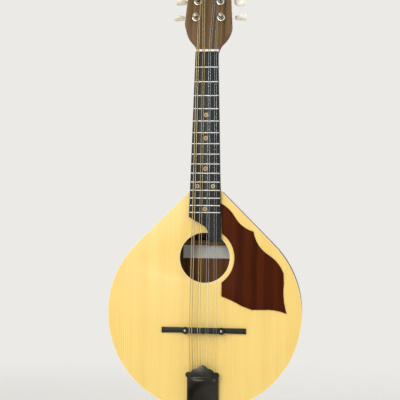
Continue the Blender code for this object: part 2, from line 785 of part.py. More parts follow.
def make_neck(parent, head, holes):
    neck = piece("neck", rounded(neck_shaft()), MAHOGANY, parent)
    front = OVERLAY_THICKNESS + GAP
    block = slab("head", [head_outline(-HEAD_FOOT)], front, front + HEAD_THICKNESS)
    boolean(neck, tool(block, head), "UNION")
    tenon = slab("tenon", [tenon_outline(0.0)], INSIDE_TOP + BITE, INSIDE_TOP + TENON_DEPTH)
    boolean(neck, tool(tenon, parent), "UNION")
    overlay_mesh = slab("headstock_overlay", [head_outline(GAP)], 0.0, OVERLAY_THICKNESS)
    overlay = piece("headstock_overlay", overlay_mesh, WALNUT, head)
    for hole in holes:
        boolean(neck, hole, "DIFFERENCE")
        boolean(overlay, hole, "DIFFERENCE")


def make_nut(parent):
    top = FRET_TOP + NUT_OVER_FRETS
    half = NUT_WIDTH / 2
    profile = [(-GAP, GAP / 2), (-top, GAP / 2), (-top, NUT_CREST)]
    profile += [(-top + NUT_FALL, NUT_THICKNESS - GAP), (-GAP, NUT_THICKNESS - GAP)]
    nut = piece("nut", flat("nut", [profile], 2 * half, SIDE), BONE, parent)
    slots = []
    for string in STRINGS:
        width = string["radius"] + GAP
        place = Matrix.Translation((string["nut"], -string["nut_height"], 0.0))
        slot = box("slot", (-width, -top, -top), (width, width, top))
        slot.transform(place @ Matrix.Rotation(-HEAD_TILT, 4, "X"))
        slots.append(slot)
    boolean(nut, tool(combined("nut_slots", slots), parent), "DIFFERENCE")


# Tuning machines

GEAR_RADIUS = GEAR_MODULE * GEAR_TEETH / 2
WORM_LEAD = math.pi * GEAR_MODULE
WORM_ABOVE_POST = GEAR_RADIUS + WORM_RADIUS
SHAFT_RADIUS = WORM_RADIUS - TOOTH_IN
HEAD_BACK = OVERLAY_THICKNESS + GAP + HEAD_THICKNESS
PLATE_FRONT = HEAD_BACK + GAP
PLATE_BACK = PLATE_FRONT + PLATE_THICKNESS
WORM_BACK = PLATE_BACK + WORM_OFF_PLATE + WORM_RADIUS + TOOTH_OUT
EAR_INNER = WORM_TURNS * WORM_LEAD / 2 + WORM_LEAD / 2 + EAR_PLAY


def tooth_half(out):
    """Half a tooth's thickness at a distance outside its pitch line."""
    return (WORM_LEAD / 2 - TOOTH_PLAY) / 2 - out * math.tan(FLANK_ANGLE)


def gear_mesh():
    """Teeth slanted by the worm's lead angle, one of them centred on X at the middle of the face."""
    tip, root = GEAR_RADIUS + TOOTH_OUT, GEAR_RADIUS - TOOTH_IN
    slant = WORM_LEAD / (2 * math.pi * WORM_RADIUS)
    twist = GEAR_FACE * slant / GEAR_RADIUS
    points = []
    for number in range(GEAR_TEETH):
        middle = 2 * math.pi * number / GEAR_TEETH - twist / 2
        root_turn = tooth_half(-TOOTH_IN) / root
        tip_turn = tooth_half(TOOTH_OUT) / tip
        for radius, turn in ((root, -root_turn), (tip, -tip_turn), (tip, tip_turn), (root, root_turn)):
            angle = middle + turn
            points.append((radius * math.cos(angle), radius * math.sin(angle), -WORM_BACK - GEAR_FACE / 2))
    bm = bmesh.new()
    face = bm.faces.new([bm.verts.new(p) for p in points])
    bmesh.ops.spin(
        bm,
        geom=[face, *face.edges, *face.verts],
        cent=(0.0, 0.0, 0.0),
        axis=(0.0, 0.0, 1.0),
        dvec=(0.0, 0.0, GEAR_FACE),
        angle=twist,
        steps=1,
    )
    bmesh.ops.recalc_face_normals(bm, faces=bm.faces)
    return from_bmesh("gear", bm)


def post_mesh():
    """A string post, its hub and gear; Z runs to the front, and its zero is the head's face."""
    hub_end = -(WORM_BACK + GEAR_FACE / 2 + HUB_PAST_GEAR)
    profile = [
        (0.0, POST_HEIGHT),
        (POST_RADIUS - POST_CHAMFER, POST_HEIGHT),
        (POST_RADIUS, POST_HEIGHT - POST_CHAMFER),
        (POST_RADIUS, -(PLATE_BACK + GAP)),
        (HUB_RADIUS, -(PLATE_BACK + GAP)),
        (HUB_RADIUS, hub_end),
        (HUB_RADIUS * 0.7, hub_end - HUB_CAP),
        (0.0, hub_end - HUB_CAP),
    ]
    post = tool(turned("post", profile, POST_SIDES))
    gear = tool(gear_mesh())
    mesh = baked(boolean(post, gear, "UNION"))
    bpy.data.objects.remove(gear)
    return rounded(mesh)


def thread_mesh():
    """The worm's thread, right-handed, with a groove facing X at the middle of the worm."""
    root, tip = SHAFT_RADIUS - BITE, WORM_RADIUS + TOOTH_OUT
    start = -WORM_TURNS * WORM_LEAD / 2
    foot, crest = tooth_half(-TOOTH_IN - BITE), tooth_half(TOOTH_OUT)
    corners = ((root, -foot), (tip, -crest), (tip, crest), (root, foot))
    bm = bmesh.new()
    face = bm.faces.new([bm.verts.new((r, 0.0, start + z)) for r, z in corners])
    first_turn = -math.pi * (WORM_TURNS + 1)
    bmesh.ops.rotate(bm, cent=(0, 0, 0), matrix=Matrix.Rotation(first_turn, 3, "Z"), verts=bm.verts)
    steps = WORM_TURNS * WORM_STEPS
    bmesh.ops.spin(
        bm,
        geom=[face, *face.edges, *face.verts],
        cent=(0.0, 0.0, 0.0),
        axis=(0.0, 0.0, 1.0),
        dvec=(0.0, 0.0, WORM_TURNS * WORM_LEAD / steps),
        angle=2 * math.pi * WORM_TURNS,
        steps=steps,
    )
    bmesh.ops.recalc_face_normals(bm, faces=bm.faces)
    return from_bmesh("thread", bm)


def button_mesh(turn):
    """A celluloid button: round at the shaft, pinched in, then swelling to an oval end."""
    bm = bmesh.new()
    rings = []
    for share, wide, thick in BUTTON_ROWS:
        ring = []
        for i in range(BUTTON_SIDES):
            angle = 2 * math.pi * i / BUTTON_SIDES
            x = BUTTON_HALF_WIDTH * wide * math.cos(angle)
            y = BUTTON_HALF_THICKNESS * thick * math.sin(angle)
            ring.append(bm.verts.new((x, y, BUTTON_FROM_POST + BUTTON_LENGTH * share)))
        rings.append(ring)
    for lower, upper in zip(rings, rings[1:]):
        for i in range(BUTTON_SIDES):
            j = (i + 1) % BUTTON_SIDES
            bm.faces.new((lower[i], lower[j], upper[j], upper[i]))
    bm.faces.new(rings[0])
    bm.faces.new(rings[-1])
    bmesh.ops.recalc_face_normals(bm, faces=bm.faces)
    return from_bmesh("button", bm, Matrix.Rotation(turn, 4, "Z"))


def key_mesh(turn):
    """A worm shaft with its button; Z runs along the shaft to the button, X faces the gear."""
    ear_outer = EAR_INNER + EAR_THICKNESS
    profile = [
        (0.0, BUTTON_FROM_POST + BUTTON_LENGTH * 0.4),
        (SHAFT_RADIUS, BUTTON_FROM_POST + BUTTON_LENGTH * 0.4),
        (SHAFT_RADIUS, ear_outer + GAP + COLLAR_LENGTH),
        (COLLAR_RADIUS, ear_outer + GAP + COLLAR_LENGTH),
        (COLLAR_RADIUS, ear_outer + GAP),
        (SHAFT_RADIUS, ear_outer + GAP),
        (SHAFT_RADIUS, -(ear_outer + SHAFT_PAST_EAR)),
        (0.0, -(ear_outer + SHAFT_PAST_EAR)),
    ]
    shaft = tool(turned("key", profile, WORM_STEPS))
    thread = tool(thread_mesh())
    button = tool(button_mesh(turn))
    boolean(shaft, thread, "UNION")
    mesh = baked(boolean(shaft, button, "UNION"))
    for spent in (thread, button):
        bpy.data.objects.remove(spent)
    return rounded(mesh)


def ear_outline(up):
    """A bearing ear, from inside the plate to a round end about the worm's axis."""
    foot = PLATE_BACK - BITE
    points = [(foot, up - EAR_HALF_WIDTH)]
    for i in range(6):
        angle = math.pi * (i / 5 - 0.5)
        points.append(
            (WORM_BACK + EAR_HALF_WIDTH * math.cos(angle), up + EAR_HALF_WIDTH * math.sin(angle))
        )
    points.append((foot, up + EAR_HALF_WIDTH))
    return points


def make_plate(name, rail):
    """A strip with rounded ends, four post holes and four pairs of ears that carry the worm shafts."""
    top = POST_PITCH * (POSTS_PER_SIDE - 1) + PLATE_OVERHANG
    foot = -PLATE_OVERHANG * 0.8
    half = PLATE_HALF_WIDTH
    outline = arc((half, foot), (-half, foot), -half * 0.5, 6)
    outline += arc((-half, top), (half, top), -half * 0.5, 6)
    hole_radius = POST_RADIUS + RUNNING
    loops = [outline]
    ears = []
    for number in range(POSTS_PER_SIDE):
        up = POST_PITCH * number
        loops.append(circle(0.0, up, hole_radius, POST_SIDES))
        worm_up = up + WORM_ABOVE_POST
        bore = circle(WORM_BACK, worm_up, SHAFT_RADIUS + RUNNING, EAR_BORE_SIDES)
        for side in (-1, 1):
            middle = side * (EAR_INNER + EAR_THICKNESS / 2)
            ears.append(flat("ear", [ear_outline(worm_up), bore], EAR_THICKNESS, SIDE, (middle, 0.0, 0.0)))
    plate = piece(f"tuner_plate_{name}", slab("plate", loops, PLATE_FRONT, PLATE_BACK), NICKEL, rail)
    boolean(plate, tool(combined("ears", ears), rail), "UNION")


def bushing_mesh():
    """A flanged bushing; Z runs to the front, and its zero is the head's face."""
    bore = POST_RADIUS + RUNNING
    profile = [
        (bore, GAP + BUSHING_FLANGE),
        (BUSHING_RADIUS - BUSHING_CHAMFER, GAP + BUSHING_FLANGE),
        (BUSHING_RADIUS, GAP),
        (BUSHING_SLEEVE, GAP),
        (BUSHING_SLEEVE, -BUSHING_DEPTH),
        (bore, -BUSHING_DEPTH),
    ]
    return rounded(turned("bushing", profile, POST_SIDES, closed=True))


# A post's frame: X up to the worm, Z out of the head's face. A worm's: X down to the gear, Z outwards.
POST_FRAME = Matrix(((0, -1, 0, 0), (0, 0, -1, 0), (1, 0, 0, 0), (0, 0, 0, 1)))
WORM_FRAMES = {
    "bass": Matrix(((0, 0, -1, 0), (0, -1, 0, 0), (-1, 0, 0, 0), (0, 0, 0, 1))),
    "treble": Matrix(((0, 0, 1, 0), (0, 1, 0, 0), (-1, 0, 0, 0), (0, 0, 0, 1))),
}
# Buttons as they stand in the photograph: edge on where True, their faces to the front elsewhere
EDGE_ON = {"bass": (True, False, True, False), "treble": (True, False, False, True)}


def make_tuners(rails):
    post = post_mesh()
    bushing = bushing_mesh()
    keys = {edge: key_mesh(math.pi / 2 * edge) for edge in (False, True)}
    for name, rail in rails.items():
        make_plate(name, rail)
        for number in range(POSTS_PER_SIDE):
            up = POST_PITCH * number
            label = f"{name}_{number + 1}"
            at_post = Matrix.Translation((0.0, 0.0, up)) @ POST_FRAME
            piece(f"string_post_{label}", post, STEEL, rail, at_post)
            piece(f"bushing_{label}", bushing, NICKEL, rail, at_post)
            at_worm = Matrix.Translation((0.0, WORM_BACK, up + WORM_ABOVE_POST)) @ WORM_FRAMES[name]
            piece(f"tuner_key_{label}", keys[EDGE_ON[name][number]], CREAM, rail, at_worm)


# Bridge

WHEEL_FRONT = SADDLE_DROP + GAP + BRIDGE_BASE_HEIGHT + WHEEL_THICKNESS
SADDLE_FOOT = WHEEL_FRONT + GAP


def make_bridge(parent):
    half, width = BRIDGE_LENGTH / 2, BRIDGE_WIDTH / 2
    plan = [(-half, width), (half, width), (half, -width)]
    plan += arc((half, -width), (-half, -width), -BRIDGE_BULGE, 8)[1:] + [(-half, -width)]
    plan = [(x, z - BRIDGE_BELOW_NUT) for x, z in plan]
    base_mesh = slab("bridge_base", [plan], -GAP - BRIDGE_BASE_HEIGHT, -GAP)
    base = piece("bridge_base", base_mesh, EBONY, parent)
    past = half + BRIDGE_TIP_LENGTH
    tip = -GAP - BRIDGE_TIP_HEIGHT
    side = [(past, BRIDGE_BASE_HEIGHT), (past, tip), (half, tip)]
    side.append((half - BRIDGE_TIP_LENGTH, tip - BRIDGE_TIP_RISE))
    side.append((SADDLE_LENGTH / 2, -GAP - BRIDGE_BASE_HEIGHT - BITE))
    elevation = flat("bridge_side", [mirrored(side)], BRIDGE_WIDTH * 2, END, (0, 0, -BRIDGE_BELOW_NUT))
    boolean(base, tool(elevation, parent), "INTERSECT")
    studs = []
    for x in (-STUD_OUT, STUD_OUT):
        start, end = (x, -GAP - BITE, -BRIDGE_BELOW_NUT), (x, -STUD_HEIGHT, -BRIDGE_BELOW_NUT)
        studs.append(rod("stud", STUD_RADIUS, start, end))
    boolean(base, tool(combined("studs", studs), parent), "UNION")


def make_saddle(parent):
    half, crest = SADDLE_LENGTH / 2, SADDLE_CREST / 2
    corner = SADDLE_ROUNDING
    ear = -SADDLE_EAR_TOP
    side = [
        (crest - 2 * corner, -SADDLE_TOP),
        (crest, -SADDLE_TOP + corner),
        (crest + corner, ear),
        (half - corner, ear + SADDLE_EAR_FALL),
        (half, ear + SADDLE_EAR_FALL + corner),
        (half, -SADDLE_FOOT),
    ]
    mesh = flat("saddle", [mirrored(side)], SADDLE_WIDTH, END, (0.0, 0.0, -BRIDGE_BELOW_NUT))
    saddle = piece("bridge_saddle", mesh, EBONY, parent)
    top, wide = SADDLE_TOP_WIDTH / 2, SADDLE_WIDTH / 2
    shoulder = -SADDLE_EAR_TOP - BITE
    wedge = [(-SADDLE_TOP - BITE, top), (shoulder, wide + BITE), (0.0, wide + BITE)]
    wedge += [(0.0, -wide - BITE), (shoulder, -wide - BITE), (-SADDLE_TOP - BITE, -top)]
    outline = [(y, z - BRIDGE_BELOW_NUT) for y, z in wedge]
    boolean(saddle, tool(flat("wedge", [outline], SADDLE_LENGTH * 2, SIDE), parent), "INTERSECT")
    holes = []
    for x in (-STUD_OUT, STUD_OUT):
        start, end = (x, 0.0, -BRIDGE_BELOW_NUT), (x, -2 * SADDLE_TOP, -BRIDGE_BELOW_NUT)
        holes.append(rod("stud_hole", STUD_RADIUS + GAP, start, end))
    boolean(saddle, tool(combined("stud_holes", holes), parent), "DIFFERENCE")


def make_wheels(parent):
    """Thumbwheels on the studs, below the saddle; each one's Z is its stud's axis, to the front."""
    bore = STUD_RADIUS + GAP
    half = WHEEL_THICKNESS / 2
    profile = [
        (bore, half),
        (WHEEL_RADIUS - WHEEL_CHAMFER, half),
        (WHEEL_RADIUS, half - WHEEL_CHAMFER),
        (WHEEL_RADIUS, WHEEL_CHAMFER - half),
        (WHEEL_RADIUS - WHEEL_CHAMFER, -half),
        (bore, -half),
    ]
    mesh = rounded(turned("thumbwheel", profile, 16, closed=True))
    for name, side in SIDES.items():
        place = Matrix.Translation((side * STUD_OUT, -WHEEL_FRONT + half, -BRIDGE_BELOW_NUT))
        piece(f"thumbwheel_{name}", mesh, NICKEL, parent, place @ Matrix.Rotation(math.pi / 2, 4, "X"))


# Tailpiece


def make_tail_base(parent):
    """A bent plate: flat on the soundboard, then down the tail, with a hook for each string."""
    outer = BODY_RADIUS + GAP + TAIL_PLATE_THICKNESS
    seat = BODY_RADIUS + GAP
    half = TAIL_PLATE_HALF

    def tail_arc(radius, width):
        below = math.sqrt(radius**2 - width**2)
        ends = (width, -(BODY_CENTRE + below)), (-width, -(BODY_CENTRE + below))
        return arc(*ends, radius - below, 8) + [ends[1]]

    flat_outline = tail_arc(seat + TAIL_PLATE_THICKNESS / 2, half)
    flat_outline += [(-half, TAIL_PLATE_FROM_TAIL - BODY_TAIL), (half, TAIL_PLATE_FROM_TAIL - BODY_TAIL)]
    front = -GAP - TAIL_PLATE_THICKNESS
    base = piece("tailpiece_base", slab("tailpiece_base", [flat_outline], front, -GAP), NICKEL, parent)
    leg_outline = tail_arc(outer, TAIL_LEG_HALF) + list(reversed(tail_arc(seat, TAIL_LEG_HALF)))
    leg = slab("tail_leg", [leg_outline], front - SEAM, TAIL_LEG_DEPTH)
    boolean(base, tool(leg, parent), "UNION")
    tab = HOOK_THICKNESS / 2
    profile = [(-GAP - TAIL_PLATE_THICKNESS / 2, tab), (-HOOK_HEIGHT, tab)]
    lip = -HOOK_HEIGHT + HOOK_LIP_THICKNESS
    profile += [(-HOOK_HEIGHT, -tab - HOOK_LIP), (lip, -tab - HOOK_LIP)]
    profile += [(lip, -tab), (-GAP - TAIL_PLATE_THICKNESS / 2, -tab)]
    outline = [(y, z - HOOKS_BELOW_NUT) for y, z in profile]
    hooks = [flat("hook", [outline], HOOK_WIDTH, SIDE, (string["hook"], 0.0, 0.0)) for string in STRINGS]
    boolean(base, tool(combined("hooks", hooks), parent), "UNION")


def cover_rows():
    """(below the nut, half width, how proud in the middle, how proud at the sides) along the cover."""
    low = COVER_CLEAR
    side, visor = COVER_HALF, COVER_VISOR_HALF
    tail = BODY_TAIL + COVER_PAST_TAIL
    step = COVER_STEP
    band_end = COVER_BAND + 2 * step + COVER_BAND_LENGTH
    bend = tail - COVER_TAIL_BEND
    lean = (COVER_HEIGHT - COVER_TAIL_HEIGHT) / (bend - band_end)
    lip = GAP + TAIL_PLATE_THICKNESS + COVER_SHEET + COVER_CLEAR
    middle = (band_end + bend) / 2
    return (
        (COVER_PEAK - step, visor, COVER_VISOR_PEAK, COVER_VISOR_EDGE),
        (COVER_BAND - step, visor, COVER_HEIGHT - step / 2, COVER_VISOR_EDGE),
        (COVER_BAND, side, COVER_HEIGHT - step / 2, COVER_VISOR_EDGE - step / 2),
        (COVER_BAND + step, side, COVER_HEIGHT, low),
        (COVER_BAND + 2 * step, side, COVER_HEIGHT + step, low),
        (band_end, side, COVER_HEIGHT + step, low),
        (band_end + step, side, COVER_HEIGHT - lean * step, low),
        (middle, side, (COVER_HEIGHT + COVER_TAIL_HEIGHT) / 2, low),
        (bend, side, COVER_TAIL_HEIGHT, low),
        (tail - step, side - COVER_SHEET, COVER_TAIL_HEIGHT - 2 * step, low),
        (tail, side - 2 * COVER_SHEET, lip, lip - COVER_CLEAR / 2),
    )


def cloud_outline():
    """The cover from the front: a peak, two scallops and a round ear on each side, then straight."""
    tail = BODY_TAIL + 2 * COVER_PAST_TAIL
    wide = COVER_VISOR_HALF * 2
    scallop = (COVER_SCALLOP_OUT, -(COVER_PEAK + COVER_SCALLOP))
    ear = (COVER_EAR_OUT, -(COVER_PEAK + COVER_EAR))
    waist = (COVER_HALF - COVER_STEP / 4, -(COVER_BAND + COVER_STEP / 4))
    half = arc((0.0, -COVER_PEAK), scallop, 0.9 * MM, 4)
    half += arc(scallop, ear, 1.3 * MM, 4)
    half += arc(ear, waist, COVER_EAR_BOW, 8)
    half += [waist, (wide, waist[1]), (wide, -tail)]
    return mirrored(half)


def make_cover(parent):
    bm = bmesh.new()
    rows = []
    for below, half, proud, edge in cover_rows():
        row = []
        for i in range(COVER_COLUMNS + 1):
            angle = math.pi * i / COVER_COLUMNS
            cosine = round(math.cos(angle), 9)
            across = math.copysign(math.sqrt(abs(cosine)), cosine)
            up = math.sqrt(math.sin(angle))
            row.append(bm.verts.new((half * across, -(edge + (proud - edge) * up), -below)))
        rows.append(row)
    for upper, lower in zip(rows, rows[1:]):
        for i in range(COVER_COLUMNS):
            bm.faces.new((upper[i], upper[i + 1], lower[i + 1], lower[i]))
    bmesh.ops.recalc_face_normals(bm, faces=bm.faces)
    if sum(face.normal.y for face in bm.faces) > 0:
        bmesh.ops.reverse_faces(bm, faces=bm.faces)
    cover = piece("tailpiece_cover", rounded(from_bmesh("cover", bm)), BLACK_NICKEL, parent)
    sheet = cover.modifiers.new("Sheet", "SOLIDIFY")
    sheet.thickness = COVER_SHEET
    sheet.offset = -1.0
    sheet.use_even_offset = False
    trim = slab("cloud", [cloud_outline()], -2 * COVER_HEIGHT, COVER_HEIGHT)
    boolean(cover, tool(trim, parent), "INTERSECT")


def make_end_pin(parent):
    """Z runs down, out of the tail, and its zero is the rib's face."""
    profile = [
        (0.0, PIN_HEAD_LENGTH),
        (PIN_HEAD_RADIUS * 0.7, PIN_HEAD_LENGTH - 0.6 * MM),
        (PIN_HEAD_RADIUS, PIN_HEAD_LENGTH * 0.72),
        (PIN_HEAD_RADIUS * 0.86, PIN_HEAD_LENGTH * 0.5),
        (PIN_RADIUS * 1.15, PIN_HEAD_LENGTH * 0.3),
        (PIN_HEAD_RADIUS * 0.9, GAP),
        (PIN_RADIUS, GAP),
        (PIN_RADIUS * 0.9, -PIN_SHANK),
        (0.0, -PIN_SHANK),
    ]
    place = Matrix.Translation((0.0, PIN_DOWN, -BODY_TAIL)) @ Matrix.Rotation(math.pi, 4, "X")
    piece("end_pin", rounded(turned("end_pin", profile, 14)), EBONY, parent, place)


# Strings


def string_table():
    """Each string's places at the nut, the saddle and the hooks, and its post, from bass to treble."""
    posts = (("bass", 0), ("bass", 1), ("bass", 2), ("bass", 3))
    posts += (("treble", 3), ("treble", 2), ("treble", 1), ("treble", 0))
    table = []
    for number in range(8):
        course, first = divmod(number, 2)
        middle = course - 1.5
        across = -1 if first == 0 else 1
        gauge = list(GAUGES)[course]
        radius = GAUGES[gauge] / 2
        table.append(
            {
                "name": f"string_{gauge}_{'outer' if (course < 2) == (first == 0) else 'inner'}",
                "radius": radius,
                "nut": middle * COURSE_AT_NUT + across * PAIR_AT_NUT,
                "saddle": middle * COURSE_AT_SADDLE + across * PAIR_AT_SADDLE,
                "hook": middle * COURSE_AT_HOOKS + across * PAIR_AT_HOOKS,
                "nut_height": FRET_TOP + STRING_OVER_FRETS + radius,
                "post": posts[number],
            }
        )
    return table


STRINGS = string_table()


def loop_points(string):
    """The thin loop round a hook, from its free end to where it closes, and each point's radius."""
    x, wire = string["hook"], min(LOOP_WIRE, string["radius"])
    free = string["radius"] + wire + WINDING_SPACE
    y = -LOOP_HEIGHT
    throat, close = LOOP_THROAT - HOOKS_BELOW_NUT, LOOP_CLOSE - HOOKS_BELOW_NUT
    points = [(x + free, y, close), (x + LOOP_RADIUS, y, throat)]
    for i in range(6):
        angle = -math.pi * i / 5
        points.append(
            (x + LOOP_RADIUS * math.cos(angle), y, LOOP_RADIUS * math.sin(angle) - HOOKS_BELOW_NUT)
        )
    points.append((x - LOOP_RADIUS, y, throat))
    points.append((x - LOOP_RADIUS * 0.3, y, close))
    return [(Vector(p), wire) for p in points]


def winding_points(string, rail_frame):
    """The turns on the post, from where the string meets it, down towards the head's face."""
    name, number = string["post"]
    turn = -SIDES[name]
    radius = POST_RADIUS + GAP + string["radius"]
    start = rail_frame.inverted() @ Vector((string["nut"], -string["nut_height"], 0.0))
    along = start - Vector((0.0, 0.0, POST_PITCH * number))
    flat_distance = math.hypot(along.x, along.z)
    first = math.atan2(along.z, along.x) + turn * math.acos(radius / flat_distance)
    pitch = 2 * string["radius"] + WINDING_SPACE
    count = round(WINDING_TURNS * WINDING_POINTS)
    points = []
    for i in range(count + 1):
        turns = i / WINDING_POINTS
        angle = first + turn * 2 * math.pi * turns
        local = (
            radius * math.cos(angle),
            pitch * turns - WINDING_TOP,
            POST_PITCH * number + radius * math.sin(angle),
        )
        points.append((rail_frame @ Vector(local), string["radius"]))
    return points


def string_route(string, rail_frame):
    radius = string["radius"]
    over_saddle = Vector((string["saddle"], -(SADDLE_TOP + GAP + radius), -BRIDGE_BELOW_NUT))
    over_nut = Vector((string["nut"], -string["nut_height"], -GAP))
    route = loop_points(string)
    thick_start = Vector((string["hook"], -LOOP_HEIGHT, STRING_START - HOOKS_BELOW_NUT))
    route.append((thick_start, radius))
    route.append((over_saddle, radius))
    route.append((over_nut, radius))
    return route + winding_points(string, rail_frame)


def least_gap(route):
    """The least space that a string leaves to itself, measured between points half a turn apart or more."""
    reach = math.pi * POST_RADIUS
    least = math.inf
    along = [0.0]
    for (a, _), (b, _) in zip(route, route[1:]):
        along.append(along[-1] + (b - a).length)
    for i, (a, radius_a) in enumerate(route):
        for j in range(i):
            b, radius_b = route[j]
            if along[i] - along[j] > reach:
                least = min(least, (a - b).length - radius_a - radius_b)
    return least


def make_strings(parent, rail_frames):
    gaps = []
    for string in STRINGS:
        route = string_route(string, rail_frames[string["post"][0]])
        gaps.append(least_gap(route))
        radius = string["radius"]
        curve = bpy.data.curves.new(string["name"], "CURVE")
        curve.dimensions = "3D"
        curve.bevel_depth = radius
        curve.bevel_resolution = 1
        curve.use_fill_caps = True
        spline = curve.splines.new("POLY")
        spline.points.add(len(route) - 1)
        for point, (place, thick) in zip(spline.points, route):
            point.co = (*place, 1.0)
            point.radius = thick / radius
        obj = bpy.data.objects.new(string["name"], curve)
        PARTS.objects.link(obj)
        obj.parent = parent
        wound = string["radius"] > GAUGES["a"] / 2
        curve.materials.append(BRONZE if wound else STEEL)
    print(f"least gap in a string's turns: {min(gaps) / MM:.2f} mm")


def main():
    instrument_matrix = Matrix.Translation((0.0, -HANGER_BACK, -HANGER_UP))
    instrument = frame("instrument", None, instrument_matrix)
    head_matrix = Matrix.Translation((0.0, -OVERLAY_PROUD, NUT_THICKNESS)) @ Matrix.Rotation(
        -HEAD_TILT, 4, "X"
    )
    head = frame("head", instrument, head_matrix)
    rails, rail_frames = {}, {}
    for name, side in SIDES.items():
        matrix = Matrix.Translation((side * FIRST_POST_OUT, 0.0, FIRST_POST_UP)) @ Matrix.Rotation(
            -side * RAIL_ANGLE, 4, "Y"
        )
        rails[name] = frame(f"rail_{name}", head, matrix)
        rail_frames[name] = head_matrix @ matrix

    pin_hole = pin_cutter(instrument)
    make_soundboard(instrument)
    make_back(instrument)
    make_ribs(instrument, pin_hole)
    make_linings(instrument)
    make_blocks(instrument, pin_hole)
    make_braces(instrument)
    make_pickguard(instrument)
    make_neck(instrument, head, post_holes(rails))
    make_fretboard(instrument)
    make_nut(instrument)
    make_tuners(rails)
    make_bridge(instrument)
    make_saddle(instrument)
    make_wheels(instrument)
    make_tail_base(instrument)
    make_cover(instrument)
    make_end_pin(instrument)
    make_strings(instrument, rail_frames)


main()
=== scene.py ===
"""The finish of a flat back mandolin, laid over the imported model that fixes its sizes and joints.

Lengths are metres in the model's frame: X runs to the treble side, Y to the back and Z up the neck.
"""

import json
import math

import bmesh
import bpy
from mathutils import Matrix, Vector


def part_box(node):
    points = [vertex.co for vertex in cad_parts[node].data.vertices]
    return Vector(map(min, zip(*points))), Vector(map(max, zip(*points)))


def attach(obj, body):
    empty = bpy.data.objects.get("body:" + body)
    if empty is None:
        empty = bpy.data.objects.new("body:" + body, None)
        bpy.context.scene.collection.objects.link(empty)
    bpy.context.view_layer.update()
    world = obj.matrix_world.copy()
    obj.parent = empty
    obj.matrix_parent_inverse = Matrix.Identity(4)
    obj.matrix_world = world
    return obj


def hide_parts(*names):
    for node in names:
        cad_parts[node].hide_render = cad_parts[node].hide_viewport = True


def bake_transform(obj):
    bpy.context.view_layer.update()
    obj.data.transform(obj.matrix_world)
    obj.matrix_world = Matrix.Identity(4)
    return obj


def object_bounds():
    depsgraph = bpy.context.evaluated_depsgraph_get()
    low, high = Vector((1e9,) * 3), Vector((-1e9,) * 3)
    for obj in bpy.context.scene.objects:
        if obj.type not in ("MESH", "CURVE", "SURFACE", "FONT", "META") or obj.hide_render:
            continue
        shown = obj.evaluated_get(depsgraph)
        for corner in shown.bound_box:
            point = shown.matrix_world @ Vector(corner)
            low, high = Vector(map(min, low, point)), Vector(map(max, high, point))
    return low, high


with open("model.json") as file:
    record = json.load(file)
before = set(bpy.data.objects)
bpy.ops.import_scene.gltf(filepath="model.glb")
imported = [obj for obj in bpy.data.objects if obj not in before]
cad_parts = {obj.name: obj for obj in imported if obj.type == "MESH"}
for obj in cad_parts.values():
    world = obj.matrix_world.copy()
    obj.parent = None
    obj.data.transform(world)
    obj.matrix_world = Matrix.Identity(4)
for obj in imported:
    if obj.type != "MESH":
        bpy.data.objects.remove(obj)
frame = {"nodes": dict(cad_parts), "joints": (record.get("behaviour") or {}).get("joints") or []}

bl_info = {
    "name": "Flat Back Mandolin",
    "version": (1, 0, 0),
    "blender": (4, 5, 0),
    "location": "View3D > Sidebar > Mandolin",
    "description": "Wood, strings, hardware and studio for a flat back mandolin",
    "category": "Object",
}

MM = 0.001
CAD_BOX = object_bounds()
NODES = frame["nodes"]
JOINTS = {joint["name"]: joint for joint in frame["joints"]}
SIDES = ("bass", "treble")

# Places in the model's frame: where the strings' length starts at the nut, the front of the top where the
# fretboard is glued, the fret tops, the sound hole's middle, the tail and the hooks above it
NUT_Z = -15.0 * MM
GLUE_Y = -11.0 * MM
FRET_TOP_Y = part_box("fretboard")[0].y
HOLE_Z = -276.0 * MM
TAIL_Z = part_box("soundboard")[0].z
HOOK_Z = TAIL_Z + 17.1 * MM

SCALE_LENGTH = 352.0 * MM
FRETS = 15
FRET_CROWN = 0.866 * MM
HEAD_TILT = math.radians(15.0)

# A noise's blotches are about half over its scale across, and a wave's lines 0.314 over its scale apart
NOISE = 0.5
WAVE = 0.314


# Colours and nodes


def linear(code):
    """A hex sRGB colour as the linear values that a socket takes."""
    parts = [int(code[i : i + 2], 16) / 255 for i in (1, 3, 5)]
    return tuple(c / 12.92 if c <= 0.04045 else ((c + 0.055) / 1.055) ** 2.4 for c in parts)


def feed(tree, node, inputs):
    """Sets a node's inputs to values, or links them from sockets or from the first outputs of nodes."""
    for key, value in inputs.items():
        if isinstance(value, bpy.types.Node):
            value = next(socket for socket in value.outputs if socket.enabled)
        if isinstance(value, bpy.types.NodeSocket):
            tree.links.new(value, node.inputs[key])
        else:
            node.inputs[key].default_value = value


def add(tree, kind, inputs=None, stops=None, **settings):
    """A shader node of this kind with its settings, its inputs fed and its colour stops placed."""
    node = tree.nodes.new(f"ShaderNode{kind}")
    for key, value in settings.items():
        setattr(node, key, value)
    feed(tree, node, inputs or {})
    if stops:
        ramp = node.color_ramp
        while len(ramp.elements) < len(stops):
            ramp.elements.new(0.5)
        for element, (place, color) in zip(ramp.elements, stops):
            element.position = place
            element.color = color
    return node


def new_material(name, color, roughness, metallic=0.0):
    """A material, its node tree, its Principled shader, and Object coordinates for its patterns."""
    mat = bpy.data.materials.new(name)
    mat.use_nodes = True
    tree = mat.node_tree
    shader = tree.nodes["Principled BSDF"]
    feed(tree, shader, {"Base Color": (*color, 1.0), "Roughness": roughness, "Metallic": metallic})
    return mat, tree, shader, add(tree, "TexCoord").outputs["Object"]


def shade(color, amount):
    """A colour made darker or lighter by a factor, with its alpha."""
    return (*[min(c * amount, 1.0) for c in color], 1.0)


def shades(color, *stops):
    """Colour stops from places and the factors that shade one colour there."""
    return [(place, shade(color, amount)) for place, amount in stops]


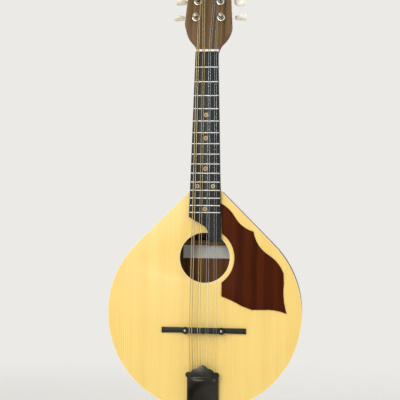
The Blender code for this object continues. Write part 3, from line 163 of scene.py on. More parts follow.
def mottle(tree, shader, vector, color, size, detail, *stops):
    """Noise of a real size in the colour, between the shades at its stops. It is returned for other uses."""
    noise = add(tree, "TexNoise", {"Vector": vector, "Scale": NOISE / size, "Detail": detail})
    feed(tree, shader, {"Base Color": add(tree, "ValToRGB", {"Fac": noise}, shades(color, *stops))})
    return noise


# Materials


def spruce_top(colours):
    """Sitka spruce, quartersawn and bookmatched under a clear satin varnish: straight grain lines, closer at
    the seam, and slow warm streaks. The lines are 1.2 mm apart, drawn at 2.4 mm so that they show."""
    top = colours.top
    mat, tree, shader, place = new_material("spruce_under_satin_varnish", top, 0.4)
    split = add(tree, "SeparateXYZ", {"Vector": place}).outputs
    out = add(tree, "Math", {0: split["X"]}, operation="ABSOLUTE")
    # The power draws the lines closer than the wave's own 2.9 mm by about 1.2
    spread = add(tree, "Math", {0: out, 1: 0.93}, operation="POWER")
    matched = add(tree, "CombineXYZ", {"X": spread, "Y": split["Y"], "Z": split["Z"]})
    along = add(tree, "Mapping", {"Vector": matched, "Scale": (1.0, 1.0, 0.02)})
    wave = {"Scale": WAVE / (2.9 * MM), "Distortion": 1.6, "Detail": 2.0, "Detail Scale": 0.5}
    rings = add(tree, "TexWave", {"Vector": along, **wave}).outputs["Fac"]
    late_wood = (1.0, (top[0] * 0.92, top[1] * 0.87, top[2] * 0.78, 1.0))
    grain = add(tree, "ValToRGB", {"Fac": rings}, [*shades(top, (0.0, 1.02), (0.5, 1.0)), late_wood])
    # The lines are strong in some places and faint in others, a few centimetres apart
    patches = add(tree, "TexNoise", {"Vector": place, "Scale": NOISE / (35.7 * MM), "Detail": 1.0})
    strength = {"From Min": 0.4, "From Max": 0.62, "To Min": 0.3, "To Max": 1.0}
    share = add(tree, "MapRange", {"Value": patches, **strength})
    lines = add(tree, "Mix", {"Factor": share, "A": (*top, 1.0), "B": grain}, data_type="RGBA")
    wide = add(tree, "Mapping", {"Vector": matched, "Scale": (1.0, 1.0, 0.04)})
    streak = {"Scale": NOISE / (7.14 * MM), "Detail": 4.0, "Roughness": 0.65}
    streaks = add(tree, "TexNoise", {"Vector": wide, **streak})
    warm = add(tree, "ValToRGB", {"Fac": streaks}, [(0.32, (1.0,) * 4), (0.68, (0.95, 0.885, 0.76, 1.0))])
    multiply = {"data_type": "RGBA", "blend_type": "MULTIPLY"}
    tinted = add(tree, "Mix", {"Factor": 1.0, "A": lines, "B": warm}, **multiply)
    glue_line = {"From Min": 0.0, "From Max": 0.35 * MM, "To Min": 0.16, "To Max": 0.0}
    seam = add(tree, "MapRange", {"Value": out, **glue_line})
    joined = add(tree, "Mix", {"Factor": seam, "A": tinted, "B": shade(top, 0.45)}, data_type="RGBA")
    gloss = add(tree, "MapRange", {"Value": rings, "To Min": 0.36, "To Max": 0.46})
    bump = add(tree, "Bump", {"Height": rings, "Strength": 0.04, "Distance": 0.1 * MM})
    feed(tree, shader, {"Base Color": joined, "Roughness": gloss, "Normal": bump})
    return mat


def grained_wood(name, base, spacing, contrast, roughness, axis="Z", drawn=0.04, sheen=0.5):
    """A planed and varnished hardwood: bands of grain along an axis, and pores drawn out along them."""
    mat, tree, shader, place = new_material(name, base, roughness)
    # YZ is for the head, which leans back, and XZ for the ribs, whose grain follows their bend
    stretch = [drawn if letter in axis else 1.0 for letter in "XYZ"]
    along = add(tree, "Mapping", {"Vector": place, "Scale": stretch})
    band = {"Scale": 0.25 / spacing, "Detail": 4.0, "Roughness": 0.6, "Distortion": 0.4}
    waver = add(tree, "TexNoise", {"Vector": along, **band})
    dark = 1.0 - contrast
    tones = ((0.28, dark), (0.42, 0.5 + dark / 2), (0.5, 1.0 + contrast), (0.58, 1.0), (0.72, dark * 0.9))
    bands = add(tree, "ValToRGB", {"Fac": waver}, shades(base, *tones))
    pore = {"Scale": 1.6 / spacing, "Detail": 3.0, "Roughness": 0.7}
    pores = add(tree, "TexNoise", {"Vector": along, **pore})
    depth = {"From Min": 0.38, "From Max": 0.6, "To Min": 0.72, "To Max": 1.04}
    flecks = add(tree, "MapRange", {"Value": pores, **depth})
    tint = add(tree, "CombineColor", {channel: flecks for channel in range(3)})
    multiply = {"data_type": "RGBA", "blend_type": "MULTIPLY"}
    mixed = add(tree, "Mix", {"Factor": 1.0, "A": bands, "B": tint}, **multiply)
    gloss = add(tree, "MapRange", {"Value": pores, "To Min": roughness + 0.08, "To Max": roughness - 0.06})
    bump = add(tree, "Bump", {"Height": flecks, "Strength": 0.08, "Distance": 0.05 * MM})
    surface = {"Base Color": mixed, "Roughness": gloss, "Normal": bump, "Specular IOR Level": sheen}
    feed(tree, shader, surface)
    return mat


def metal(name, color, roughness, grit):
    """Plated or drawn metal: an even mirror broken by fine polishing marks of the given size."""
    mat, tree, shader, place = new_material(name, color, roughness, 1.0)
    marks = mottle(tree, shader, place, color, grit, 3.0, (0.35, 0.9), (0.65, 1.05))
    reach = {"To Min": roughness * 0.75, "To Max": roughness * 1.35}
    feed(tree, shader, {"Roughness": add(tree, "MapRange", {"Value": marks, **reach})})
    return mat


def domed_nickel(colours):
    """Black nickel plate over a pressed brass cover: a dark mirror, its face swelling 1.6 mm to the middle.
    Its colour is blotched 14 mm across, from half to 1.7 times its own, as painted reflection."""
    mat, tree, shader, place = new_material("black_nickel_plate", colours.black, 0.26, 1.0)
    half_width = 20.0 * MM
    split = add(tree, "SeparateXYZ", {"Vector": place}).outputs
    across = add(tree, "Math", {0: split["X"], 1: half_width}, operation="DIVIDE")
    square = add(tree, "Math", {0: across, 1: across}, operation="MULTIPLY")
    swell = add(tree, "Math", {0: 1.0, 1: square}, operation="SUBTRACT")
    bump = add(tree, "Bump", {"Height": swell, "Strength": 1.0, "Distance": 1.6 * MM})
    # This mottle of the colour is painted reflection; the same noise also sets the roughness
    marks = mottle(tree, shader, place, colours.black, 14.0 * MM, 2.0, (0.38, 0.5), (0.62, 1.7))
    wear = {"From Min": 0.3, "From Max": 0.7, "To Min": 0.22, "To Max": 0.34}
    gloss = add(tree, "MapRange", {"Value": marks, **wear})
    feed(tree, shader, {"Roughness": gloss, "Normal": bump})
    return mat


def wound_wire(colours):
    """Phosphor bronze on a steel core. The turns are 0.25 mm apart, drawn at 0.5 mm so that they show."""
    mat, tree, shader, place = new_material("phosphor_bronze_winding", colours.bronze, 0.32, 1.0)
    wave = add(tree, "TexWave", {"Vector": place, "Scale": WAVE / (0.5 * MM)}, bands_direction="Z")
    turns = wave.outputs["Fac"]
    # The colour is darker between the turns and lighter on their crowns: painted shade and painted highlight,
    # beside the bump
    painted_turn_shading = add(tree, "ValToRGB", {"Fac": turns}, shades(colours.bronze, (0.1, 0.7), (0.6, 1.1)))
    bump = add(tree, "Bump", {"Height": turns, "Strength": 0.5, "Distance": 0.1 * MM})
    feed(tree, shader, {"Base Color": painted_turn_shading, "Normal": bump})
    return mat


def celluloid(colours):
    """Cream celluloid, moulded and buffed: faint clouding a few millimetres across and a soft glow within."""
    mat, tree, shader, place = new_material("cream_celluloid", colours.button, 0.28)
    mottle(tree, shader, place, colours.button, 3.0 * MM, 3.0, (0.3, 0.88), (0.7, 1.06))
    reach = (1.2 * MM, 0.9 * MM, 0.6 * MM)
    feed(tree, shader, {"Subsurface Weight": 0.15, "Subsurface Radius": reach, "Subsurface Scale": 1.0})
    return mat


def bone(colours):
    """Bleached bone, filed and polished: cream with short pores along its length."""
    mat, tree, shader, place = new_material("polished_bone", colours.nut, 0.35)
    along = add(tree, "Mapping", {"Vector": place, "Scale": (0.15, 1.0, 1.0)})
    mottle(tree, shader, along, colours.nut, 0.5 * MM, 2.0, (0.3, 0.86), (0.6, 1.04))
    return mat


def mottled(name, color, roughness, size, detail, *stops):
    """A matt or filed surface with nothing but a mottle of a real size in its colour."""
    mat, tree, shader, place = new_material(name, color, roughness)
    mottle(tree, shader, place, color, size, detail, *stops)
    return mat


def finishes(colours):
    """Every finish by its short name, made once."""
    return {
        "top": spruce_top(colours),
        # The top's rounded rim, the faces that turn away from the front: the same spruce, paler, its lines
        # run together
        "rim": mottled("spruce_rim", colours.rim, 0.42, 0.5556 * MM, 2.0, (0.3, 0.93), (0.7, 1.03)),
        # Spruce of the braces and linings, darker than bare spruce as painted shade inside the body: matt,
        # straight grain 2 mm apart
        "bare": grained_wood("bare_spruce_painted_shade", colours.inside, 2.0 * MM, 0.12, 0.7, "X", sheen=0.2),
        # Walnut of the back and sides under satin varnish: golden brown bands 6 mm apart, fine dark pores
        "back": grained_wood("varnished_walnut", colours.back, 6.0 * MM, 0.34, 0.55, "Z", 0.02, 0.12),
        "ribs": grained_wood("bent_walnut", colours.back, 6.0 * MM, 0.34, 0.55, "XZ", 0.02, 0.12),
        # Mahogany neck, hand rubbed: even red brown with pores 3 mm apart
        "neck": grained_wood("rubbed_mahogany", colours.neck, 5.0 * MM, 0.2, 0.5, "YZ", 0.03, 0.15),
        # Walnut head facing: brown with straight pale streaks 3 mm apart
        "facing": grained_wood("walnut_facing", colours.facing, 3.2 * MM, 0.36, 0.5, "YZ", 0.006, 0.2),
        # Rosewood pickguard, buffed: dark red brown with near black streaks 9 mm apart
        "guard": grained_wood("buffed_rosewood", colours.guard, 9.0 * MM, 0.3, 0.5, "Z", 0.03, 0.05),
        # Ebony, oiled: almost black with the faintest streaks, its cool grey cast a painted reflection
        "ebony": grained_wood("oiled_ebony", colours.ebony, 4.0 * MM, 0.16, 0.42, "Z", sheen=0.25),
        "bridge": grained_wood("bridge_ebony", colours.ebony, 4.0 * MM, 0.16, 0.45, "X", sheen=0.25),
        "bone": bone(colours),
        "celluloid": celluloid(colours),
        # Uncoated label paper glued inside: off-white, matt, with a fibre mottle of about 1 mm
        "paper": mottled("label_paper", colours.label, 0.85, 1.0 * MM, 4.0, (0.3, 0.92), (0.7, 1.03)),
        # Tan celluloid inlay discs, filed flush: clouded a little, a millimetre across
        "dot": mottled("tan_inlay", colours.dot, 0.4, 1.2 * MM, 3.0, (0.35, 0.8), (0.65, 1.1)),
        # The darker wood within each disc's ring
        "heart": grained_wood("inlay_heart", colours.heart, 1.0 * MM, 0.2, 0.45, "Z", sheen=0.3),
        "wound": wound_wire(colours),
        # Drawn steel wire of the plain strings
        "wire": metal("drawn_steel", colours.steel, 0.25, 0.4 * MM),
        # Nickel silver fretwire, crowned and buffed
        "fretwire": metal("nickel_silver", colours.fretwire, 0.24, 0.6 * MM),
        # Bright nickel plate of bushings, tuner plates and worms
        "nickel": metal("bright_nickel", colours.nickel, 0.24, 0.8 * MM),
        "cover": domed_nickel(colours),
        # String posts and the bridge's studs, their plate worn dull
        "post": metal("worn_nickel", colours.post, 0.34, 0.8 * MM),
        # Black nickel of the bridge's wheels, dulled by handling
        "black": metal("black_nickel", colours.black, 0.35, 1.0 * MM),
        # Turned brass of the gears, its cutter marks fine
        "brass": metal("turned_brass", colours.brass, 0.28, 0.6 * MM),
    }


FINISHES = {}


# Making pieces


def everything(bm):
    return bm.verts[:] + bm.edges[:] + bm.faces[:]


def move(bm, matrix):
    bmesh.ops.transform(bm, matrix=matrix, verts=bm.verts)


def join_flats(bm):
    """Joins neighbouring faces that lie in one plane."""
    bmesh.ops.dissolve_limit(bm, angle_limit=math.radians(1.0), verts=bm.verts, edges=bm.edges)


def face_out(bm):
    bmesh.ops.recalc_face_normals(bm, faces=bm.faces)


def close(bm):
    """Closes the open rims, and returns the faces that do so."""
    rims = [edge for edge in bm.edges if edge.is_boundary]
    return bmesh.ops.holes_fill(bm, edges=rims, sides=0)["faces"]


def cut_off(bm, point, away):
    """Cuts off what lies past a point, looking away, and returns the faces that close the cut."""
    bmesh.ops.bisect_plane(bm, geom=everything(bm), plane_co=point, plane_no=away, clear_outer=True)
    return close(bm)


def copy_of(node):
    """A CAD node's mesh as a bmesh, its loose triangles merged and its flat faces joined."""
    bm = bmesh.new()
    bm.from_mesh(NODES[node].data)
    bmesh.ops.remove_doubles(bm, verts=bm.verts, dist=0.002 * MM)
    join_flats(bm)
    return bm


def mesh_of(name, bm):
    """A mesh made of a bmesh, which is freed."""
    mesh = bpy.data.meshes.new(name)
    bm.to_mesh(mesh)
    bm.free()
    return mesh


def put(name, data):
    """A new object in the scene."""
    obj = bpy.data.objects.new(name, data)
    bpy.context.scene.collection.objects.link(obj)
    return obj


def soften(bm, width, angle=40.0, segments=2):
    """Rounds every edge that turns more than an angle."""
    limit = math.radians(angle)
    edges = [e for e in bm.edges if len(e.link_faces) == 2 and e.calc_face_angle(0.0) > limit]
    rounding = {"affect": "EDGES", "segments": segments, "profile": 0.5, "material": -1}
    bmesh.ops.bevel(bm, geom=edges, offset=width, clamp_overlap=True, **rounding)


def settle(name, bm, finish, body, nodes=(), smooth=35.0):
    """A finished piece from a bmesh, standing for the CAD nodes named. It rides on its body when one is
    named;
    anything else given for the body, such as two bodies and the heights of a bend, leaves it fixed where it
    is."""
    mesh = mesh_of(name, bm)
    for key in [finish] if isinstance(finish, str) else finish:
        mesh.materials.append(FINISHES[key])
    mesh.shade_smooth()
    mesh.set_sharp_from_angle(angle=math.radians(smooth))
    obj = put(name, mesh)
    if isinstance(body, str):
        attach(obj, body)
    else:
        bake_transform(obj)
    if nodes:
        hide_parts(*nodes)


def dressed(node, finish, body, width=0.0, angle=40.0, segments=2):
    """A CAD node's own shape with its edges rounded and a finish."""
    bm = copy_of(node)
    if width:
        soften(bm, width, angle, segments)
    settle(f"{node}_finished", bm, finish, body, [node])


def axis_frame(pos, axis, across=(0.0, 0.0, 1.0)):
    """A frame at a point with Z along an axis and X as near as may be to another direction."""
    z = Vector(axis).normalized()
    x = Vector(across)
    x = (x - z * x.dot(z)).normalized()
    matrix = Matrix((x, z.cross(x), z)).transposed().to_4x4()
    matrix.translation = Vector(pos)
    return matrix


def joint_frame(name, across=(0.0, 0.0, 1.0)):
    return axis_frame(JOINTS[name]["pos_m"], JOINTS[name]["axis"], across)


def in_mm(*points):
    """An outline of (radius, height) points given in millimetres."""
    return [(radius * MM, height * MM) for radius, height in points]


def lathe(outline, steps):
    """A bmesh turned about Z from (radius, height) points; an outline off the axis makes a ring."""
    bm = bmesh.new()
    verts = [bm.verts.new((radius, 0.0, height)) for radius, height in outline]
    edges = [bm.edges.new(pair) for pair in zip(verts, verts[1:])]
    if outline[0][0] > 0.0:
        edges.append(bm.edges.new((verts[-1], verts[0])))
    turn = {"cent": (0.0, 0.0, 0.0), "axis": (0.0, 0.0, 1.0), "angle": 2 * math.pi}
    bmesh.ops.spin(bm, geom=verts + edges, steps=steps, use_merge=True, **turn)
    bmesh.ops.remove_doubles(bm, verts=bm.verts, dist=0.005 * MM)
    face_out(bm)
    return bm


def merged(pieces):
    """Several bmeshes as one."""
    whole = bmesh.new()
    for bm in pieces:
        mesh = mesh_of("part", bm)
        whole.from_mesh(mesh)
        bpy.data.meshes.remove(mesh)
    return whole


def bar(radius, start, end, sides):
    """A round bar between two points."""
    start, end = Vector(start), Vector(end)
    bm = bmesh.new()
    length = (end - start).length
    bmesh.ops.create_cone(bm, cap_ends=True, segments=sides, radius1=radius, radius2=radius, depth=length)
    turn = (end - start).to_track_quat("Z", "Y").to_matrix().to_4x4()
    move(bm, Matrix.Translation((start + end) / 2) @ turn)
    return bm


def screw_head(radius, pos, axis):
    """A domed wood screw's head with its slot, standing on a surface."""
    foot = -0.1 * MM
    half_slot = radius * 0.12
    dome = [(radius * across, radius * up) for across, up in ((0.0, 0.45), (0.5, 0.38), (0.9, 0.14))]
    bm = lathe([*dome, (radius, foot), (0.0, foot)], 16)
    for y in (-half_slot, half_slot):
        bmesh.ops.bisect_plane(bm, geom=everything(bm), plane_co=(0.0, y, 0.0), plane_no=(0.0, 1.0, 0.0))
    middles = [(face, face.calc_center_median()) for face in bm.faces]
    slot = [face for face, middle in middles if abs(middle.y) < half_slot and middle.z > foot / 2]
    bmesh.ops.inset_region(bm, faces=slot, thickness=0.0, depth=-radius * 0.2)
    move(bm, axis_frame(pos, axis))
    return bm


def fret_z(number):
    return NUT_Z - SCALE_LENGTH * (1 - 2 ** (-number / 12))


def board_half(z):
    """Half the fretboard's width at a height, from its CAD box at nut and end."""
    low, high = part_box("fretboard")
    nut_low, nut_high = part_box("nut")
    nut_half = (nut_high.x - nut_low.x) / 2
    share = (NUT_Z - z) / (NUT_Z - low.z)
    return nut_half + (high.x - nut_half) * share


# The body


def build_body(sizes):
    top = copy_of("soundboard")
    soften(top, sizes.top_edge, 60.0, 3)
    # Faces that turn away from the front take the paler rim colour
    for face in top.faces:
        rounded = abs(face.normal.y) <= 0.97
        face.material_index = 1 if rounded else 0
    settle("soundboard_finished", top, ["top", "rim"], "mandolin", ["soundboard"])
    dressed("back_plate", "back", "mandolin", sizes.top_edge, 60.0, 3)
    for side in SIDES:
        dressed(f"rib_{side}", "ribs", "mandolin")


def build_inside(sizes):
    dressed("neck_block", "back", "mandolin", 0.4 * MM)
    for node in ("tail_block", "top_brace_upper", "top_brace_lower", "back_brace_upper", "back_brace_lower"):
        dressed(node, "bare", "mandolin", 0.4 * MM)
    for place in ("top", "back"):
        for side in SIDES:
            dressed(f"{place}_lining_{side}", "bare", "mandolin", 0.3 * MM)
    # The label is 0.15 mm thick and stands a hair off the back that it is glued to
    label = bmesh.new()
    bmesh.ops.create_cube(label, size=1.0)
    size = Matrix.Diagonal((sizes.label_width, 0.15 * MM, sizes.label_height, 1.0))
    back_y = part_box("back_plate")[0].y
    middle = (sizes.label_aside, back_y - 0.08 * MM, HOLE_Z + sizes.label_rise)
    move(label, Matrix.Translation(middle) @ size)
    settle("label_paper", label, "paper", "mandolin")


# Corners of the pickguard that are filed round: sideways, below the nut, and how far the filing reaches
GUARD_SOFT_CORNERS = ((59.7 * MM, 328.6 * MM, 12.0 * MM), (101.2 * MM, 284.6 * MM, 7.0 * MM))


def build_pickguard(sizes):
    """The CAD's guard with two of its corners filed to soft curves."""
    guard = copy_of("pickguard")
    for x, below, reach in GUARD_SOFT_CORNERS:
        corner = Vector((x, NUT_Z - below))
        near = [
            edge for edge in guard.edges
            if abs(edge.verts[0].co.y - edge.verts[1].co.y) < 0.1 * MM
            and all((vert.co.xz - corner).length < reach for vert in edge.verts)
        ]
        bmesh.ops.subdivide_edges(guard, edges=near, cuts=2)
        verts = [vert for vert in guard.verts if (vert.co.xz - corner).length < reach * 0.8]
        for _ in range(30):
            bmesh.ops.smooth_vert(guard, verts=verts, factor=0.5, use_axis_x=True, use_axis_z=True)
    soften(guard, sizes.guard_edge, 30.0)
    settle("pickguard_finished", guard, "guard", "mandolin", ["pickguard"])


# The neck's depth under the fretboard at the nut and where the heel starts, and the heel's height
NECK_DEPTH = 13.8 * MM
HEEL_DEPTH = 17.5 * MM
HEEL_HEIGHT = 34.0 * MM
HEEL_STEPS = 14
# Sections of the shaft: how far down it, and how square, from nearly square at the nut to round at the heel
SHAFT_SECTIONS = (
    (-0.015, 5.0), (0.0, 5.0), (0.04, 3.8), (0.09, 2.9), (0.16, 2.45), (0.3, 2.3), (0.5, 2.2), (0.75, 2.1),
    (1.0, 2.05),
)


def build_neck(sizes):
    """The head is the CAD's own; the shaft and heel are lofted finer, from rings squeezed to each section."""
    head = copy_of("neck")
    cut_off(head, (0.0, 0.0, NUT_Z + 1.5 * MM), (0.0, 0.0, -1.0))
    settle("neck_head", head, "neck", "mandolin", ["neck"], 30.0)

    heel_end = NUT_Z - SCALE_LENGTH / 2 - 0.3 * MM
    heel_start = heel_end + HEEL_HEIGHT
    rows = []
    for share, square in SHAFT_SECTIONS:
        z = NUT_Z + (heel_start - NUT_Z) * share
        rows.append((z, NECK_DEPTH + (HEEL_DEPTH - NECK_DEPTH) * max(share, 0.0), square))
    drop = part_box("back_plate")[1].y - GLUE_Y - 0.6 * MM - HEEL_DEPTH
    for step in range(1, HEEL_STEPS + 1):
        share = step / HEEL_STEPS
        angle = math.pi / 2 * share
        z = heel_start - HEEL_HEIGHT * math.sin(angle)
        rows.append((z, HEEL_DEPTH + drop * (1 - math.cos(angle)), 2.05 + 0.25 * share))
    shaft = bmesh.new()
    for z, depth, square in rows:
        half = board_half(z)
        for vert in bmesh.ops.create_circle(shaft, cap_ends=False, segments=56, radius=1.0)["verts"]:
            x, y = vert.co.x, vert.co.y
            across = math.copysign(abs(x) ** (2 / square), x)
            deep = abs(y) ** (2 / square) if y > 0 else 0.0
            vert.co = (half * across, GLUE_Y + depth * deep, z)
    bmesh.ops.remove_doubles(shaft, verts=shaft.verts, dist=0.001 * MM)
    bmesh.ops.bridge_loops(shaft, edges=shaft.edges[:])
    close(shaft)
    face_out(shaft)
    settle("neck_shaft", shaft, "neck", "mandolin", ["neck"], 40.0)
    dressed("headstock_overlay", "facing", "mandolin", sizes.facing_edge, 50.0)


# The fret spaces that carry a dot, and to which side of the middle each dot stands
DOTS = ((5, 0), (7, 0), (10, 0), (15, 0), (12, -1), (12, 1))


def build_fretboard(sizes):
    """The blank, its frets and its dots. The CAD's frets are cut off with a skim of wood that is put back."""
    front = FRET_TOP_Y + FRET_CROWN
    skim = 0.25 * MM
    board = copy_of("fretboard")
    cut = cut_off(board, (0.0, front + skim, 0.0), (0.0, -1.0, 0.0))
    raised = bmesh.ops.extrude_face_region(board, geom=cut)["geom"]
    bmesh.ops.delete(board, geom=cut, context="FACES_ONLY")
    verts = [item for item in raised if isinstance(item, bmesh.types.BMVert)]
    bmesh.ops.translate(board, vec=(0.0, -skim, 0.0), verts=verts)
    join_flats(board)
    face_out(board)
    soften(board, sizes.board_edge, 50.0)
    settle("fretboard_blank", board, "ebony", "mandolin", ["fretboard"])

    wires = []
    for number in range(1, FRETS + 1):
        z = fret_z(number)
        half = board_half(z) - 0.4 * MM
        wire = bar(sizes.fret_radius, (-half, 0.0, 0.0), (half, 0.0, 0.0), 16)
        cut_off(wire, (0.0, 0.25 * MM, 0.0), (0.0, 1.0, 0.0))
        # The ends are filed to slope in towards the crown
        for vert in wire.verts:
            if vert.co.y < 0.0:
                vert.co.x *= 1.0 + vert.co.y * 0.4 / half
        move(wire, Matrix.Translation((0.0, front, z)))
        wires.append(wire)
    settle("frets", merged(wires), "fretwire", "mandolin", ["fretboard"], 50.0)

    dots, marks = [], []
    for number, side in DOTS:
        z = (fret_z(number) + fret_z(number - 1)) / 2
        x = board_half(z) * 0.52 * side
        disc = bar(sizes.dot / 2, (x, front - 0.03 * MM, z), (x, front + 0.5 * MM, z), 32)
        face = min(disc.faces, key=lambda f: f.calc_center_median().y)
        bmesh.ops.inset_individual(disc, faces=[face], thickness=sizes.dot * 0.2, depth=0.0)
        face.material_index = 1
        dots.append(disc)
        z += 2.2 * MM * side
        x, y = -board_half(z), (front + GLUE_Y) / 2
        marks.append(bar(0.9 * MM, (x - 0.02 * MM, y, z), (x + 0.4 * MM, y, z), 20))
    settle("position_dots", merged(dots), ["dot", "heart"], "mandolin")
    settle("side_dots", merged(marks), "bone", "mandolin")


# The strings

# Diameters of the four courses from G to E
GAUGES = (1.0 * MM, 0.66 * MM, 0.38 * MM, 0.28 * MM)
# From course to course, and from a course's middle to its strings
STRING_STEPS = {"nut": (7.5 * MM, 1.1 * MM), "saddle": (10.3 * MM, 1.5 * MM), "hook": (9.1 * MM, 1.8 * MM)}
# The loop of twisted wire at a string's end: its radius and wire, and above the hook the ends of its round
# part, of its open legs, of the twist's taper and of the whole
LOOP_RADIUS = 1.35 * MM
LOOP_WIRE = 0.22 * MM
LOOP_ROUND, LOOP_LEGS, LOOP_TAPER, LOOP_END = 2.4 * MM, 5.2 * MM, 7.6 * MM, 9.0 * MM
LOOP_STEPS = 12
SADDLE_Z = sum(corner.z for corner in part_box("bridge_saddle")) / 2
# A string's clearance over the saddle's top and, at the nut, over the fret tops, and where it leaves the nut
OVER_SADDLE = 0.3 * MM
OVER_FRETS = 0.4 * MM
LEAVES_NUT_Z = NUT_Z - 0.3 * MM
# A string's turns on its post: the post's radius with some slack, their number, the height of the first, the
# space between two, and the points to a turn
WINDING_RADIUS = 3.0 * MM + 0.3 * MM
WINDING_TURNS = 2.1
WINDING_TOP = 6.2 * MM
WINDING_GAP = 0.45 * MM
WINDING_STEPS = 24


def string_rows():
    """Each string's name, radius, places at nut, saddle and hook, and its post, from bass to treble."""
    rows = []
    for number in range(8):
        course, second = divmod(number, 2)
        bass = course < 2
        outer = bass != bool(second)
        row = {
            "name": f"string_{'gdae'[course]}_{'outer' if outer else 'inner'}",
            "radius": GAUGES[course] / 2,
            "post": ("bass", number + 1) if bass else ("treble", 8 - number),
            "wound": bass,
        }
        for place, (between, aside) in STRING_STEPS.items():
            row[place] = (course - 1.5) * between + (aside if second else -aside)
        rows.append(row)
    return rows


def string_path(row):
    """Points from the loop on the hook, over saddle and nut, to the turns on the post, with radii."""
    radius = row["radius"]
    wire = min(LOOP_WIRE, radius)
    x, y = row["hook"], GLUE_Y - 3.2 * MM
    free_end = x + radius + wire + 0.45 * MM
    points = [((free_end, y, HOOK_Z + LOOP_LEGS), wire), ((x + LOOP_RADIUS, y, HOOK_Z + LOOP_ROUND), wire)]
    for step in range(LOOP_STEPS + 1):
        angle = -math.pi * step / LOOP_STEPS
        around = (x + LOOP_RADIUS * math.cos(angle), y, HOOK_Z + LOOP_RADIUS * math.sin(angle))
        points.append((around, wire))
    points += [
        ((x - LOOP_RADIUS, y, HOOK_Z + LOOP_ROUND), wire),
        ((x - LOOP_RADIUS * 0.3, y, HOOK_Z + LOOP_LEGS), wire),
        ((x, y, HOOK_Z + LOOP_TAPER), wire),
        ((x, y, HOOK_Z + LOOP_END), radius),
    ]
    saddle_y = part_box("bridge_saddle")[0].y - OVER_SADDLE - radius
    points.append(((row["saddle"], saddle_y, SADDLE_Z), radius))
    at_nut = (row["nut"], FRET_TOP_Y - OVER_FRETS - radius, LEAVES_NUT_Z)
    points.append((at_nut, radius))

    side, number = row["post"]
    post = joint_frame(f"post_{side}_{number}_turn")
    start = post.inverted() @ Vector(at_nut)
    around = WINDING_RADIUS + radius
    handed = 1 if side == "bass" else -1
    first = math.atan2(start.y, start.x) + handed * math.acos(around / math.hypot(start.x, start.y))
    pitch = 2 * radius + WINDING_GAP
    for step in range(int(WINDING_TURNS * WINDING_STEPS) + 1):
        share = step / WINDING_STEPS
        angle = first + handed * 2 * math.pi * share
        local = Vector((around * math.cos(angle), around * math.sin(angle), WINDING_TOP - pitch * share))
        points.append((tuple(post @ local), radius))
    return points


# Each length of a string: its name, the heights where it is cut, and two bodies with the heights of a bend
# between them. The lengths are not bent: each stays fixed where it is made.
LOW_CUT = HOOK_Z + LOOP_END + 5.5 * MM
SADDLE_CUT = SADDLE_Z + 0.5 * MM
HIGH_CUT = NUT_Z - 10.0 * MM
STRING_LENGTHS = (
    ("loop", None, LOW_CUT, ("mandolin", "bridge", HOOK_Z + LOOP_END, LOW_CUT)),
    ("afterlength", LOW_CUT, SADDLE_CUT, ("bridge", "saddle", LOW_CUT, SADDLE_Z - 0.3 * MM)),
    ("speaking_length", SADDLE_CUT, HIGH_CUT, ("bridge", "saddle", HIGH_CUT, SADDLE_CUT)),
    ("head_end", HIGH_CUT, None, ("mandolin", "bridge", NUT_Z - 0.5 * MM, HIGH_CUT)),
)


def cut_between(bm, bottom, top):
    """A copy of a closed mesh between two heights, a hair short of each cut, with its ends closed."""
    hair = 0.02 * MM
    part = bm.copy()
    if bottom is not None:
        cut_off(part, (0.0, 0.0, bottom + hair), (0.0, 0.0, -1.0))
    if top is not None:
        cut_off(part, (0.0, 0.0, top - hair), (0.0, 0.0, 1.0))
    face_out(part)
    return part


def wire_along(points, radius):
    """A closed bmesh of round wire along points that each carry a radius."""
    curve = bpy.data.curves.new("route", "CURVE")
    curve.dimensions = "3D"
    curve.bevel_depth = radius
    curve.bevel_resolution = 3
    curve.use_fill_caps = True
    spline = curve.splines.new("POLY")
    spline.points.add(len(points) - 1)
    for point, (place, thick) in zip(spline.points, points):
        point.co = (*place, 1.0)
        point.radius = thick / radius
    obj = put("route", curve)
    bpy.context.view_layer.update()
    mesh = bpy.data.meshes.new_from_object(obj.evaluated_get(bpy.context.evaluated_depsgraph_get()))
    bpy.data.objects.remove(obj)
    bm = bmesh.new()
    bm.from_mesh(mesh)
    bpy.data.meshes.remove(mesh)
    bmesh.ops.remove_doubles(bm, verts=bm.verts, dist=0.0005 * MM)
    face_out(bm)
    return bm


def build_strings():
    for row in string_rows():
        whole = wire_along(string_path(row), row["radius"])
        finish, slot = ("wound", "wound_string") if row["wound"] else ("wire", "plain_string")
        for part, bottom, top, bend in STRING_LENGTHS:
            cut = cut_between(whole, bottom, top)
            settle(f"{row['name']}_{part}", cut, finish, bend, [row["name"]], 60.0)
        whole.free()


# Bridge and tailpiece

WHEEL_RADIUS = 4.6 * MM
WHEEL_STEPS = 48
# The end pin, turned from its round head to the peg in the tail block
END_PIN = in_mm(
    (0.0, 11.0), (3.4, 10.8), (5.4, 10.0), (6.3, 8.4), (6.35, 7.4), (5.7, 5.9), (4.6, 4.6), (4.1, 3.4),
    (4.3, 2.2), (5.1, 1.2), (5.8, 0.7), (5.8, 0.3), (3.6, 0.3), (3.3, -14.0), (0.0, -14.0),
)


